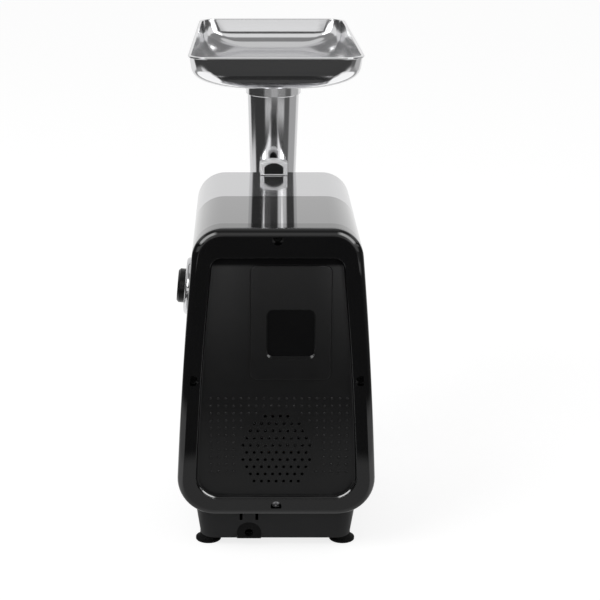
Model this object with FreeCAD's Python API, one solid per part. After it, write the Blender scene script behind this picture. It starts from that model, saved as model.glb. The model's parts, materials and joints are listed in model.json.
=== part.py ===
import FreeCAD, Part
import math
import os

# Electric meat grinder, modelled in millimetres.
# The rear cover faces +Y, the grinding head points to -Y and +Z is up.
# Depths are measured from the rear rim of the cover towards the grinding head.

V = FreeCAD.Vector

# Housing outline, the same from the rear cover to the front wall
housing_bottom = 38.0
top_over_barrel = 67.0
half_width_top = 70.5
half_width_bottom = 89.0
side_bulge = 2.0
top_corner = 27.0
bottom_corner = 34.0
wall = 3.0
front_space = 30.0
front_round = 5.0

# Rear cover
cover_depth = 20.0
rim_round = 7.0
rim_side = 16.5
rim_top = 25.5
rim_bottom = 16.5
panel_recess = 4.0
panel_top_corner = 9.0
panel_bottom_corner = 21.0
panel_floor_round = 2.0
panel_edge_round = 1.2
pad_offset = -11.7
pad_width = 70.0
pad_height = 103.0
pad_below_panel_top = 7.0
pad_rise = 1.6
pad_corner = 6.0
pad_edge_round = 0.8
label_width = 42.0
label_height = 45.0
label_drop = 39.0
label_recess = 1.2
vent_radius = 1.35
vent_pitch = 6.53
vent_row_pitch = 6.88
vent_half_width = 32.0
vent_rows_above = 5
vent_rows_below = 4
vent_half_height = 37.0
vent_centre_rise = 59.4

# Cover screws, in wells in the rim
screw_inset = 9.0
side_screw_rise = 128.0
boss_radius = 7.0
boss_length = 16.0
well_radius = 4.8
well_depth = 8.0
screw_head_radius = 3.9
screw_head_height = 2.6
screw_radius = 1.9
screw_clearance = 0.2
screw_length = 24.0

# Joint between the middle and the front shell
shell_joint = 113.0
lip_length = 6.0
lip_wall = 2.0
lip_clearance = 0.15

# Base and feet
base_half_width_top = 72.0
base_half_width_bottom = 68.0
base_rear = 12.0
base_front_inset = 11.0
base_draft = 5.0
base_bottom = 8.0
base_cradle = 14.0
base_corner = 14.0
base_screw_x = 45.0
base_screw_from_rear = 33.0
base_screw_from_front = 27.0
base_boss_radius = 6.5
base_boss_height = 18.0
base_screw_length = 16.0
foot_x = 61.0
foot_from_end = 16.0
foot_radius = 11.5
foot_lip = 1.6
foot_neck_radius = 7.5
foot_stud_radius = 3.0
foot_stud_length = 7.0
foot_stud_gap = 1.0
foot_waist = 0.2

# Cord inlet in the rear wall of the base
inlet_x = 24.0
inlet_half_width = 11.0
inlet_height = 16.5
gland_wall = 5.0
gland_lip = 1.5
gland_bore = 3.8
inlet_slot_width = 2.6
inlet_slot_height = 7.0
inlet_slot_spacing = 14.2
inlet_slot_gap = 2.5

# Control panel, knob and rotary switch on the side
control_drop = 71.0
control_depth = 68.0
control_panel_radius = 25.5
control_panel_thickness = 3.9
control_panel_round = 3.0
knob_radius = 15.2
knob_gap = 0.4
knob_height = 6.3
knob_bevel = 1.8
knob_wall = 3.2
knob_pocket = 3.0
knob_grip_width = 7.0
knob_shaft_radius = 3.0
knob_shaft_reach = 14.0
switch_pad = 4.0
switch_width = 26.0
switch_depth = 18.0
terminal_thickness = 0.8
terminal_width = 5.0
terminal_length = 6.0

# Feed tube and grinding head
head_standoff = 33.0
barrel_radius = 33.0
barrel_bore = 27.2
sleeve_radius = 28.0
sleeve_bore = 22.0
sleeve_length = 24.0
socket_proud = 2.0
socket_radius = 34.0
socket_clearance = 0.1
barrel_length = 83.0
collar_radius = 36.0
collar_length = 25.0
tube_rise = 163.0
tube_radius_top = 24.8
tube_radius_bottom = 22.3
tube_wall = 3.8
taper_start_rise = 57.0
taper_end_rise = 137.0
neck_radius = 29.0
neck_height = 37.2

# Auger, knife, plate and ring nut
auger_radius = 26.0
auger_core = 10.0
auger_pitch = 23.0
flight_thickness = 4.0
auger_gap = 5.0
coupler_gap = 1.0
coupler_radius = 18.0
knife_radius = 25.0
knife_thickness = 5.0
knife_shoulder = 1.0
knife_gap = 0.5
knife_blade_width = 8.0
knife_hub_radius = 11.0
knife_square = 12.0
plate_radius = 30.0
plate_thickness = 7.5
plate_proud = 0.5
plate_clearance = 0.2
plate_hole_radius = 2.4
plate_hole_web = 2.0
plate_pin_radius = 4.0
nut_radius = 42.0
nut_clearance = 0.4
nut_lip_bore = 25.0
nut_lip = 6.0
nut_length = 30.0
nut_lug_count = 6
nut_lug_radius = 6.0

# Tray
tray_width_rear = 158.0
tray_width_front = 148.0
tray_rear_reach = 140.0
tray_front_reach = 103.0
tray_height = 31.2
tray_corner = 18.0
tray_floor_corner = 50.0
tray_draft = 3.0
tray_floor_round = 14.0
tray_sheet = 1.5
tray_rim = 1.5
tray_rim_height = 2.0
tray_collar_drop = 26.0
tray_collar_wall = 1.5
tray_collar_clearance = 0.3
tray_flange_radius = 28.4
tray_flange = 4.0

# Lock plunger on the housing top
lock_from_front = 12.0
lock_half_width = 10.0
lock_rise = 14.6
lock_thickness = 11.0
lock_trim_wall = 2.0
lock_trim_proud = 0.4
lock_clearance = 0.4
lock_sink = 6.0
lock_pin_radius = 4.0
lock_pin_bite = 3.0
lock_collar_radius = 7.6
lock_collar_thickness = 2.0
lock_lift = 5.0
spring_radius = 6.2
spring_wire = 0.7
spring_turns = 5.0
lock_guide_radius = 8.6

# Gear train between two plates
plate_metal = 4.0
fan_to_plate = 5.0
face_gap = 3.0
pressure_angle = math.radians(25.0)
addendum = 0.8
dedendum = 1.05
backlash = 0.14
first_module = 1.0
first_pinion_teeth = 10
first_gear_teeth = 60
first_width = 10.0
second_module = 1.25
second_pinion_teeth = 12
second_gear_teeth = 54
second_width = 11.0
third_module = 1.5
third_pinion_teeth = 14
third_gear_teeth = 60
third_width = 13.0
pinion_overhang = 0.5
rim_modules = 5.0
hub_wall = 5.5
pinion_wall = 1.5
gear_shaft_radius = 4.5
output_shaft_radius = 9.0
drive_hub_radius = 14.0
drive_hub_length = 14.0
drive_square = 13.0
drive_clearance = 0.1
bush_wall = 2.5
bush_flange = 2.0
bush_flange_thickness = 1.0
running_fit = 0.05
seat_fit = 0.05
gear_plate_half_width = 48.0
gear_plate_corner = 12.0
gear_plate_margin = 37.0
gear_plate_top_margin = 49.0
gear_post_inset = 7.0
gear_post_radius = 6.0
gear_screw_radius = 2.0
gear_screw_bite = 12.0

# Motor
motor_rise = 65.25
motor_rear_depth = 34.0
motor_bracket = 6.0
motor_bracket_height = 30.0
stator_half_width = 38.0
stator_half_height = 33.0
stator_corner = 14.0
stator_length = 40.0
stator_bore = 24.5
air_gap = 0.6
coil_half_width = 17.0
coil_overhang = 7.0
coil_clear = 3.0
coil_inset = 2.2
coil_thickness = 4.2
motor_bolt_radius = 2.0
motor_bolt_inset = 5.0
motor_spacer_radius = 4.0
shaft_radius = 4.0
bearing_radius = 9.0
armature_slots = 12
slot_width = 2.4
slot_depth = 9.0
winding_radius = 18.0
winding_length = 6.0
commutator_radius = 11.0
commutator_gap = 10.0
commutator_length = 12.0
fan_clear = 1.0
fan_width = 7.0
fan_radius = 27.0
fan_hub_radius = 8.0
fan_sheet = 1.5
fan_blades = 9
brush_width = 7.0
brush_height = 6.0
brush_gap = 0.15
brush_length = 15.0
brush_holder_wall = 1.5

# Places that follow from the sizes above
first_centre = first_module * (first_pinion_teeth + first_gear_teeth) / 2
second_centre = second_module * (second_pinion_teeth + second_gear_teeth) / 2
third_centre = third_module * (third_pinion_teeth + third_gear_teeth) / 2
motor_axis = housing_bottom + motor_rise
first_axis = motor_axis + first_centre
second_axis = first_axis + second_centre
barrel_height = second_axis + third_centre
housing_top = barrel_height + top_over_barrel
tube_top = barrel_height + tube_rise
tube_taper_start = barrel_height + taper_start_rise
tube_taper_end = barrel_height + taper_end_rise
control_height = housing_top - control_drop
side_screw_height = housing_bottom + side_screw_rise
vent_centre_height = housing_bottom + vent_centre_rise
commutator_start = motor_rear_depth + commutator_gap
commutator_end = commutator_start + commutator_length
stator_start = commutator_end + coil_clear + coil_overhang
stator_end = stator_start + stator_length
fan_start = stator_end + coil_overhang + fan_clear
fan_end = fan_start + fan_width
gear_rear_depth = fan_end + fan_to_plate
gear_inner_rear = gear_rear_depth + plate_metal
first_start = gear_inner_rear + face_gap
second_start = first_start + first_width + face_gap
third_start = second_start + second_width + face_gap
gear_inner_front = third_start + third_width + face_gap
gear_front_depth = gear_inner_front + plate_metal
housing_depth = gear_front_depth + front_space
lock_depth = housing_depth - lock_from_front
base_front = housing_depth - base_front_inset
tube_depth = housing_depth + head_standoff
rear_y = (tube_depth + tray_front_reach) / 2
barrel_start = housing_depth + socket_proud
barrel_end = barrel_start + barrel_length
plate_start = barrel_end + plate_proud - plate_thickness


def y_at(depth):
    return rear_y - depth


def rod(radius, start, end, x=0.0, z=0.0):
    return Part.makeCylinder(radius, end - start, V(x, y_at(end), z), V(0, 1, 0))


def tube(outer, inner, start, end, x=0.0, z=0.0):
    return rod(outer, start, end, x, z).cut(rod(inner, start - 1, end + 1, x, z))


def post(radius, low, high, x, depth):
    return Part.makeCylinder(radius, high - low, V(x, y_at(depth), low))


def block(x0, x1, start, end, low, high):
    return Part.makeBox(x1 - x0, end - start, high - low, V(x0, y_at(end), low))


def long_edges(solid, length, axis):
    # straight edges of the given length that run along one axis
    found = []
    for edge in solid.Edges:
        if len(edge.Vertexes) == 2:
            run = edge.Vertexes[1].Point - edge.Vertexes[0].Point
            if abs(abs(run.dot(axis)) - length) < 1e-4 and abs(run.Length - length) < 1e-4:
                found.append(edge)
    return found


def rounded_block(x0, x1, start, end, low, high, corner):
    # a plate normal to the depth with its four corners rounded
    solid = block(x0, x1, start, end, low, high)
    return solid.makeFillet(corner, long_edges(solid, end - start, V(0, 1, 0)))


def bulged_prism(top, bottom, half_top, half_bottom, bulge, round_top, round_bottom, start, end):
    # a prism along the depth: level top and bottom, slightly bowed sides, rounded corners
    y = y_at(start)
    middle = (top + bottom) / 2
    half_middle = (half_top + half_bottom) / 2 + bulge
    edges = [
        Part.LineSegment(V(-half_top, y, top), V(half_top, y, top)).toShape(),
        Part.Arc(V(half_top, y, top), V(half_middle, y, middle), V(half_bottom, y, bottom)).toShape(),
        Part.LineSegment(V(half_bottom, y, bottom), V(-half_bottom, y, bottom)).toShape(),
        Part.Arc(V(-half_bottom, y, bottom), V(-half_middle, y, middle), V(-half_top, y, top)).toShape(),
    ]
    solid = Part.Face(Part.Wire(edges)).extrude(V(0, start - end, 0))
    for radius, upper in ((round_top, True), (round_bottom, False)):
        corners = []
        for edge in long_edges(solid, end - start, V(0, 1, 0)):
            on_level = abs(edge.CenterOfMass.z - (top if upper else bottom)) < 1e-4
            if on_level and abs(edge.CenterOfMass.x) > min(half_top, half_bottom) - 1e-4:
                corners.append(edge)
        solid = solid.makeFillet(radius, corners)
    return solid


def side_line(z):
    # half width of the sharp-cornered housing outline, without the bulge
    share = (housing_top - z) / (housing_top - housing_bottom)
    return half_width_top + share * (half_width_bottom - half_width_top)


def half_width(z):
    # half width of the housing at a height, with the bulge
    middle = (housing_top + housing_bottom) / 2
    reach = (housing_top - housing_bottom) / 2
    return side_line(z) + side_bulge * (1 - ((z - middle) / reach) ** 2)


def housing(inset, start, end):
    top = housing_top - inset
    bottom = housing_bottom + inset
    return bulged_prism(top, bottom, side_line(top) - inset, side_line(bottom) - inset, side_bulge,
                        top_corner - inset, bottom_corner - inset, start, end)


def face_loop(solid, depth):
    # the outer edges of a prism's end face at a depth
    loop = []
    for edge in solid.Edges:
        if all(abs(vertex.Y - y_at(depth)) < 1e-4 for vertex in edge.Vertexes):
            loop.append(edge)
    return loop


def cover_screw_spots():
    side = half_width(side_screw_height) - screw_inset
    return [(0.0, housing_top - screw_inset), (side, side_screw_height),
            (-side, side_screw_height), (0.0, housing_bottom + screw_inset)]


def base_screw_spots():
    rear = base_rear + base_screw_from_rear
    front = base_front - base_screw_from_front
    return [(x, depth) for depth in (rear, front) for x in (-base_screw_x, base_screw_x)]


def panel_prism(grow, start, end):
    # the recessed panel of the rear cover, grown outwards by a margin
    top = housing_top - rim_top + grow
    bottom = housing_bottom + rim_bottom - grow
    return bulged_prism(top, bottom, side_line(top) - rim_side + grow, side_line(bottom) - rim_side + grow,
                        side_bulge, panel_top_corner + grow, panel_bottom_corner + grow, start, end)


def vent_spots():
    # staggered rows of holes inside an ellipse
    spots = []
    for row in range(-vent_rows_below, vent_rows_above + 1):
        z = row * vent_row_pitch
        shift = 0.5 * (row % 2)
        reach = int(vent_half_width / vent_pitch) + 1
        for column in range(-reach, reach + 1):
            x = (column + shift) * vent_pitch
            if (x / vent_half_width) ** 2 + (z / vent_half_height) ** 2 < 1:
                spots.append((x, vent_centre_height + z))
    return spots


def rear_cover():
    outer = housing(0, 0, cover_depth)
    outer = outer.makeFillet(rim_round, face_loop(outer, 0))
    shell = outer.cut(housing(wall, wall, cover_depth + 1))
    panel_back = panel_recess + wall
    shell = shell.fuse(panel_prism(wall, wall - 1, panel_back).common(outer))
    spots = cover_screw_spots()
    for x, z in spots:
        shell = shell.fuse(rod(boss_radius, wall, cover_depth, x, z))
    recess = panel_prism(0, -1, panel_recess)
    recess = recess.makeFillet(panel_floor_round, face_loop(recess, panel_recess))
    shell = shell.cut(recess)
    near_recess = panel_prism(panel_edge_round, -1, 1)
    edges = [edge for edge in face_loop(shell, 0) if near_recess.isInside(edge.CenterOfMass, 1e-3, True)]
    shell = shell.makeFillet(panel_edge_round, edges)
    pad_top = housing_top - rim_top - pad_below_panel_top
    pad_left = pad_offset - pad_width / 2
    pad = rounded_block(pad_left, pad_left + pad_width, panel_recess - pad_rise, panel_recess + 1,
                        pad_top - pad_height, pad_top, pad_corner)
    pad = pad.makeFillet(pad_edge_round, face_loop(pad, panel_recess - pad_rise))
    label_top = pad_top - label_drop
    label_left = pad_offset - label_width / 2
    label = rounded_block(label_left, label_left + label_width, -1, panel_recess - pad_rise + label_recess,
                          label_top - label_height, label_top, pad_corner)
    label = label.makeFillet(label_recess / 2, face_loop(label, panel_recess - pad_rise + label_recess))
    shell = shell.fuse(pad).cut(label)
    holes = [rod(vent_radius, 0, panel_back + 1, x, z) for x, z in vent_spots()]
    for x, z in spots:
        holes.append(rod(well_radius, -1, well_depth, x, z))
        holes.append(rod(screw_radius + screw_clearance, 0, cover_depth + 1, x, z))
    return shell.cut(Part.makeCompound(holes)).removeSplitter()


def cross_screw(radius, head_radius, head_height, length):
    # a pan-head screw along +Z from the underside of its head, with a cross recess
    head = Part.makeCylinder(head_radius, head_height, V(0, 0, -head_height))
    head = head.makeFillet(head_height * 0.4, [head.Edges[2]])
    cross = Part.makeBox(head_radius * 1.1, head_radius * 0.24, head_height)
    for turn in (0, 90):
        arm = cross.copy()
        arm.translate(V(-head_radius * 0.55, -head_radius * 0.12, -head_height * 1.5))
        arm.rotate(V(0, 0, 0), V(0, 0, 1), turn)
        head = head.cut(arm)
    return head.fuse(Part.makeCylinder(radius, length)).removeSplitter()


def rear_cover_screws():
    screws = []
    for x, z in cover_screw_spots():
        screw = cross_screw(screw_radius, screw_head_radius, screw_head_height, screw_length)
        screw.rotate(V(0, 0, 0), V(1, 0, 0), 90)
        screw.translate(V(x, y_at(well_depth), z))
        screws.append(screw)
    return Part.makeCompound(screws)


def control_frame():
    # local frame on the side wall: x along the depth, y up the wall, z outwards
    seat = V(half_width(control_height), y_at(control_depth), control_height)
    outward = V(math.cos(side_slope()), 0, math.sin(side_slope()))
    up = V(-math.sin(side_slope()), 0, math.cos(side_slope()))
    return FreeCAD.Placement(seat, FreeCAD.Rotation(V(0, 1, 0), up, outward, "ZXY"))


def side_slope():
    # lean of the side wall at the height of the controls
    step = 0.01
    rise = half_width(control_height - step) - half_width(control_height + step)
    return math.atan(rise / (2 * step))


def on_side(solid):
    placed = solid.copy()
    placed.Placement = control_frame()
    return placed


def centred_box(length, height, low, high):
    return Part.makeBox(length, height, high - low, V(-length / 2, -height / 2, low))


def body_shell():
    outer = housing(0, cover_depth, shell_joint)
    shell = outer.cut(housing(wall, cover_depth - 1, shell_joint + 1))
    for x, z in cover_screw_spots():
        boss = rod(boss_radius, cover_depth, cover_depth + boss_length, x, z)
        shell = shell.fuse(boss.common(outer))
    boss_top = housing_bottom + base_boss_height
    base_spots = [spot for spot in base_screw_spots() if spot[1] < shell_joint]
    for x, depth in base_spots:
        shell = shell.fuse(post(base_boss_radius, housing_bottom, boss_top, x, depth))
    pad = on_side(centred_box(switch_width, switch_width, -wall - switch_pad, -wall / 2))
    shell = shell.fuse(pad)
    holes = [on_side(Part.makeCylinder(knob_shaft_radius + screw_clearance, 4 * wall + 2 * switch_pad,
                                       V(0, 0, -2 * wall - 2 * switch_pad)))]
    for x, z in cover_screw_spots():
        holes.append(rod(screw_radius, cover_depth - 1, cover_depth + boss_length - wall, x, z))
    for x, depth in base_spots:
        holes.append(post(screw_radius, housing_bottom - 1, boss_top - wall, x, depth))
    return shell.cut(Part.makeCompound(holes)).removeSplitter()


def gear_post_spots():
    side = gear_plate_half_width - gear_post_inset
    low = motor_axis - gear_plate_margin + gear_post_inset
    high = barrel_height + gear_plate_top_margin - gear_post_inset
    return [(x, z) for z in (low, high) for x in (-side, side)]


def lock_slot(grow, low, high):
    half = lock_half_width + grow
    reach = lock_thickness / 2 + lock_trim_proud + grow
    return block(-half, half, lock_depth - reach, lock_depth + reach, low, high)


def front_shell():
    outer = housing(0, shell_joint, housing_depth)
    outer = outer.makeFillet(front_round, face_loop(outer, housing_depth))
    shell = outer.cut(housing(wall, shell_joint - 1, housing_depth - wall))
    root = housing(wall / 2, shell_joint, shell_joint + lip_length)
    tongue = housing(wall + lip_clearance, shell_joint - lip_length, shell_joint + wall)
    hollow = housing(wall + lip_wall, shell_joint - lip_length - 1, shell_joint + lip_length + 1)
    shell = shell.fuse(root.fuse(tongue).cut(hollow))
    holes = [rod(socket_radius + screw_clearance, housing_depth - 2 * wall, housing_depth + 1,
                 0, barrel_height)]
    for x, z in gear_post_spots():
        shell = shell.fuse(rod(gear_post_radius, gear_front_depth, housing_depth - wall / 2, x, z))
        holes.append(rod(gear_screw_radius, gear_front_depth - 1, gear_front_depth + gear_screw_bite, x, z))
    for x, depth in base_screw_spots():
        if depth > shell_joint:
            top = housing_bottom + base_boss_height
            shell = shell.fuse(post(base_boss_radius, housing_bottom, top, x, depth))
            holes.append(post(screw_radius, housing_bottom - 1, top - wall, x, depth))
    holes.append(lock_slot(lock_clearance, housing_top - 2 * wall, housing_top + 1))
    return shell.cut(Part.makeCompound(holes)).removeSplitter()


def base_outline(half, rear, front, corner, z):
    # rounded rectangle at one height, as a closed wire of lines and quarter arcs
    x = half - corner
    low = y_at(front) + corner
    high = y_at(rear) - corner
    centres = [(x, high), (-x, high), (-x, low), (x, low)]

    def on_corner(index, turn):
        angle = math.radians(90 * index + turn)
        centre_x, centre_y = centres[index % 4]
        return V(centre_x + corner * math.cos(angle), centre_y + corner * math.sin(angle), z)

    edges = []
    for index in range(4):
        edges.append(Part.Arc(on_corner(index, 0), on_corner(index, 45), on_corner(index, 90)).toShape())
        edges.append(Part.LineSegment(on_corner(index, 90), on_corner(index + 1, 0)).toShape())
    return Part.Wire(edges)


def base_solid(inset, low, high):
    # the tapered base between two heights of its full taper
    def at(z):
        share = (z - base_bottom) / (housing_bottom - base_bottom)
        half = base_half_width_bottom + share * (base_half_width_top - base_half_width_bottom) - inset
        pull = (1 - share) * base_draft + inset
        return base_outline(half, base_rear + pull, base_front - pull, base_corner - inset, z)
    return Part.makeLoft([at(low), at(high)], True, True)


def foot_spots():
    rear = base_rear + base_draft + foot_from_end
    front = base_front - base_draft - foot_from_end
    return {
        "foot_rear_left": (foot_x, rear),
        "foot_rear_right": (-foot_x, rear),
        "foot_front_left": (foot_x, front),
        "foot_front_right": (-foot_x, front),
    }


def inlet_arch(half, height, start, end, low):
    # an upright arch: straight sides below a half round
    centre = base_bottom + height - half
    straight = block(inlet_x - half, inlet_x + half, start, end, low, centre)
    crown = rod(half, start, end, inlet_x, centre)
    crown = crown.common(block(inlet_x - half, inlet_x + half, start, end, low, centre + half))
    return straight.fuse(crown).removeSplitter()


def base():
    # tapered tray whose walls rise round the rounded lower corners of the housing
    top = housing_bottom + base_cradle
    solid = base_solid(0, base_bottom, top).cut(base_solid(wall, base_bottom + wall, top + 1))
    solid = solid.cut(housing(0, 0, housing_depth))
    holes = []
    for x, depth in base_screw_spots():
        solid = solid.fuse(post(base_boss_radius, base_bottom, housing_bottom, x, depth))
        holes.append(post(well_radius, base_bottom - 1, housing_bottom - well_depth, x, depth))
        holes.append(post(screw_radius + screw_clearance, base_bottom, housing_bottom + 1, x, depth))
    stud_top = base_bottom + foot_stud_length
    for x, depth in foot_spots().values():
        pillar = post(foot_neck_radius, base_bottom, stud_top + wall, x, depth)
        solid = solid.fuse(pillar.common(base_solid(0, base_bottom, housing_bottom)))
        holes.append(post(foot_stud_radius + seat_fit, base_bottom - 1, stud_top, x, depth))
    inner = base_rear + base_draft + gland_wall
    holes.append(inlet_arch(inlet_half_width, inlet_height, base_rear - 1, inner, base_bottom - 1))
    slot_low = base_bottom + inlet_height + inlet_slot_gap
    for side in (-1, 1):
        x = inlet_x + side * inlet_slot_spacing / 2
        holes.append(block(x - inlet_slot_width / 2, x + inlet_slot_width / 2, base_rear - 1, inner,
                           slot_low, slot_low + inlet_slot_height))
    return solid.cut(Part.makeCompound(holes)).removeSplitter()


def cord_gland():
    # grommet in the inlet arch, with a lip inside and a bore for the lead
    start = base_rear + base_draft - gland_lip
    end = base_rear + base_draft + gland_wall
    half = inlet_half_width - seat_fit
    height = inlet_height - seat_fit
    plug = inlet_arch(half, height, start, end, base_bottom)
    bore_height = base_bottom + height - half
    return plug.cut(rod(gland_bore, start - 1, end + 1, inlet_x, bore_height)).removeSplitter()


def base_screws():
    screws = []
    for x, depth in base_screw_spots():
        screw = cross_screw(screw_radius, screw_head_radius, screw_head_height, base_screw_length)
        screw.translate(V(x, y_at(depth), housing_bottom - well_depth))
        screws.append(screw)
    return Part.makeCompound(screws)


def foot(x, depth):
    # suction foot: thin spread lip, waisted cone and a stud in the base
    stud_top = base_bottom + foot_stud_length - foot_stud_gap
    middle = foot_neck_radius + foot_waist * (foot_radius - foot_neck_radius)
    corners = [V(foot_neck_radius, 0, base_bottom), V(foot_stud_radius, 0, base_bottom),
               V(foot_stud_radius, 0, stud_top), V(0, 0, stud_top), V(0, 0, 0),
               V(foot_radius, 0, 0), V(foot_radius, 0, foot_lip)]
    edges = [Part.LineSegment(a, b).toShape() for a, b in zip(corners, corners[1:])]
    edges.append(Part.Arc(corners[-1], V(middle, 0, base_bottom / 2), corners[0]).toShape())
    solid = Part.Face(Part.Wire(edges)).revolve(V(0, 0, 0), V(0, 0, 1), 360)
    solid.translate(V(x, y_at(depth), 0))
    return solid


def top_rim(solid, height):
    # the edges of a face at a height in the local frame
    return [edge for edge in solid.Edges if all(abs(v.Z - height) < 1e-4 for v in edge.Vertexes)]


def control_panel():
    # round plate with a soft edge, seated on the bowed side wall, with a hole for the knob's shaft
    plate = Part.makeCylinder(control_panel_radius, wall + control_panel_thickness, V(0, 0, -wall))
    plate = plate.makeFillet(control_panel_round, top_rim(plate, control_panel_thickness))
    hole = Part.makeCylinder(knob_shaft_radius + screw_clearance, 4 * control_panel_thickness,
                             V(0, 0, -2 * control_panel_thickness))
    seated = on_side(plate.cut(hole)).cut(housing(0, cover_depth, shell_joint))
    return seated.removeSplitter()


def control_knob():
    # bevelled disc with two pockets that leave a grip bar, and a shaft that reaches the switch
    low = control_panel_thickness + knob_gap
    high = low + knob_height
    disc = Part.makeCylinder(knob_radius, knob_height, V(0, 0, low))
    disc = disc.makeChamfer(knob_bevel, top_rim(disc, high))
    pocket = Part.makeCylinder(knob_radius - knob_wall, knob_height, V(0, 0, high - knob_pocket))
    pocket = pocket.cut(centred_box(2 * knob_radius, knob_grip_width, low, high + knob_height))
    shaft = Part.makeCylinder(knob_shaft_radius, low + knob_shaft_reach, V(0, 0, -knob_shaft_reach))
    return on_side(disc.cut(pocket).fuse(shaft)).removeSplitter()


def rotary_switch():
    # switch body on the pad inside the wall, bored for the knob's shaft
    top = -wall - switch_pad
    body = centred_box(switch_width, switch_width, top - switch_depth, top)
    bore = Part.makeCylinder(knob_shaft_radius + running_fit, knob_shaft_reach + switch_pad,
                             V(0, 0, -knob_shaft_reach - 1))
    body = body.cut(bore)
    for side in (-1, 0, 1):
        tab = centred_box(terminal_thickness, terminal_width, top - switch_depth - terminal_length,
                          top - switch_depth)
        tab.translate(V(side * switch_width / 4, 0, 0))
        body = body.fuse(tab)
    return on_side(body)


def lock_arch(half, thickness, low):
    # upright tab with a half-round top
    centre = housing_top + lock_rise - lock_half_width
    start = lock_depth - thickness / 2
    straight = block(-half, half, start, start + thickness, low, centre)
    return straight.fuse(rod(half, start, start + thickness, 0, centre)).removeSplitter()


def lock_low():
    return housing_top - lock_sink


def lock_button():
    return lock_arch(lock_half_width - lock_trim_wall, lock_thickness, lock_low())


def lock_trim():
    band = lock_arch(lock_half_width, lock_thickness + 2 * lock_trim_proud, lock_low())
    return band.cut(lock_arch(lock_half_width - lock_trim_wall, 2 * lock_thickness, lock_low() - 1))


def lock_pin_tip():
    return barrel_height + sleeve_radius - lock_pin_bite


def lock_collar_low():
    return barrel_height + socket_radius + lock_collar_thickness


def lock_pin():
    # pin under the button, with the collar that its spring presses on
    pin = post(lock_pin_radius, lock_pin_tip(), lock_low(), 0, lock_depth)
    low = lock_collar_low()
    collar = post(lock_collar_radius, low, low + lock_collar_thickness, 0, lock_depth)
    return pin.fuse(collar).removeSplitter()


def lock_spring_ends():
    return lock_collar_low() + lock_collar_thickness, lock_low() - lock_lift - wall


def lock_spring():
    # coil between the pin's collar and the guide plate above it
    low, high = lock_spring_ends()
    rise = high - low - 2 * spring_wire - 2 * seat_fit
    helix = Part.makeHelix(rise / spring_turns, rise, spring_radius)
    section = Part.Wire(Part.makeCircle(spring_wire, V(spring_radius, 0, 0), V(0, 1, 0)))
    coil = Part.Wire(helix).makePipeShell([section], True, True)
    coil.translate(V(0, y_at(lock_depth), low + spring_wire + seat_fit))
    return coil


def lock_guide():
    # bracket on the gear plate: a shelf above the spring and a wall down to the plate
    low = lock_spring_ends()[1]
    half = lock_guide_radius
    shelf = block(-half, half, gear_front_depth, lock_depth + half, low, low + wall)
    upright = block(-half, half, gear_front_depth, gear_front_depth + wall,
                    barrel_height + socket_radius + 1, low)
    hole = post(lock_pin_radius + running_fit, low - 1, low + wall + 1, 0, lock_depth)
    return shelf.fuse(upright).cut(hole)


def gear_plate_top():
    return barrel_height + gear_plate_top_margin


def gear_plate(start):
    low = motor_axis - gear_plate_margin
    return rounded_block(-gear_plate_half_width, gear_plate_half_width, start, start + plate_metal,
                         low, gear_plate_top(), gear_plate_corner)


def axle_heights():
    return {"first": first_axis, "second": second_axis}


def bush_radius(shaft):
    return shaft + running_fit + bush_wall


def gear_plate_holes(start, end, with_motor):
    holes = [rod(gear_screw_radius + screw_clearance, start - 1, end + 1, x, z) for x, z in gear_post_spots()]
    for height in axle_heights().values():
        holes.append(rod(bush_radius(gear_shaft_radius) + seat_fit, start - 1, end + 1, 0, height))
    holes.append(rod(bush_radius(output_shaft_radius) + seat_fit, start - 1, end + 1, 0, barrel_height))
    if with_motor:
        holes.append(rod(bearing_radius + seat_fit, start - 1, end + 1, 0, motor_axis))
        for x in motor_bolt_spots():
            holes.append(rod(motor_bolt_radius, start - 1, end + 1, x, motor_axis))
    return Part.makeCompound(holes)


def gear_plate_rear():
    return gear_plate(gear_rear_depth).cut(gear_plate_holes(gear_rear_depth, gear_inner_rear, True))


def gear_plate_front():
    # front plate with the socket that takes the head's sleeve
    plate = gear_plate(gear_inner_front)
    socket = rod(socket_radius, gear_inner_front, barrel_start, 0, barrel_height)
    plate = plate.fuse(socket)
    pocket = rod(sleeve_radius + socket_clearance, gear_front_depth, barrel_start + 1, 0, barrel_height)
    guide = post(lock_pin_radius + running_fit, barrel_height, barrel_height + socket_radius + 1,
                 0, lock_depth)
    plate = plate.cut(pocket).cut(guide)
    return plate.cut(gear_plate_holes(gear_inner_front, gear_front_depth, False)).removeSplitter()


def gear_plate_spacers():
    return Part.makeCompound([tube(gear_post_radius, gear_screw_radius + screw_clearance, gear_inner_rear,
                                   gear_inner_front, x, z) for x, z in gear_post_spots()])


def gear_plate_screws():
    screws = []
    for x, z in gear_post_spots():
        length = gear_front_depth - gear_rear_depth + gear_screw_bite - 1
        screw = cross_screw(gear_screw_radius, screw_head_radius, screw_head_height, length)
        screw.rotate(V(0, 0, 0), V(1, 0, 0), 90)
        screw.translate(V(x, y_at(gear_rear_depth), z))
        screws.append(screw)
    return Part.makeCompound(screws)


def bush(shaft, height, inner_face, towards_front):
    # flanged bush in a gear plate, with the flange on the gear side
    outer_face = inner_face + (plate_metal if towards_front else -plate_metal)
    start, end = sorted((inner_face, outer_face))
    body = rod(bush_radius(shaft), start, end, 0, height)
    flange_face = inner_face + (-bush_flange_thickness if towards_front else bush_flange_thickness)
    start, end = sorted((inner_face, flange_face))
    body = body.fuse(rod(bush_radius(shaft) + bush_flange, start, end, 0, height))
    bore = rod(shaft + running_fit, gear_rear_depth - 1, gear_front_depth + 1, 0, height)
    return body.cut(bore).removeSplitter()


def bush_pair(shaft, height):
    return Part.makeCompound([bush(shaft, height, gear_inner_rear, False),
                              bush(shaft, height, gear_inner_front, True)])


def involute(angle):
    return math.tan(angle) - angle


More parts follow.
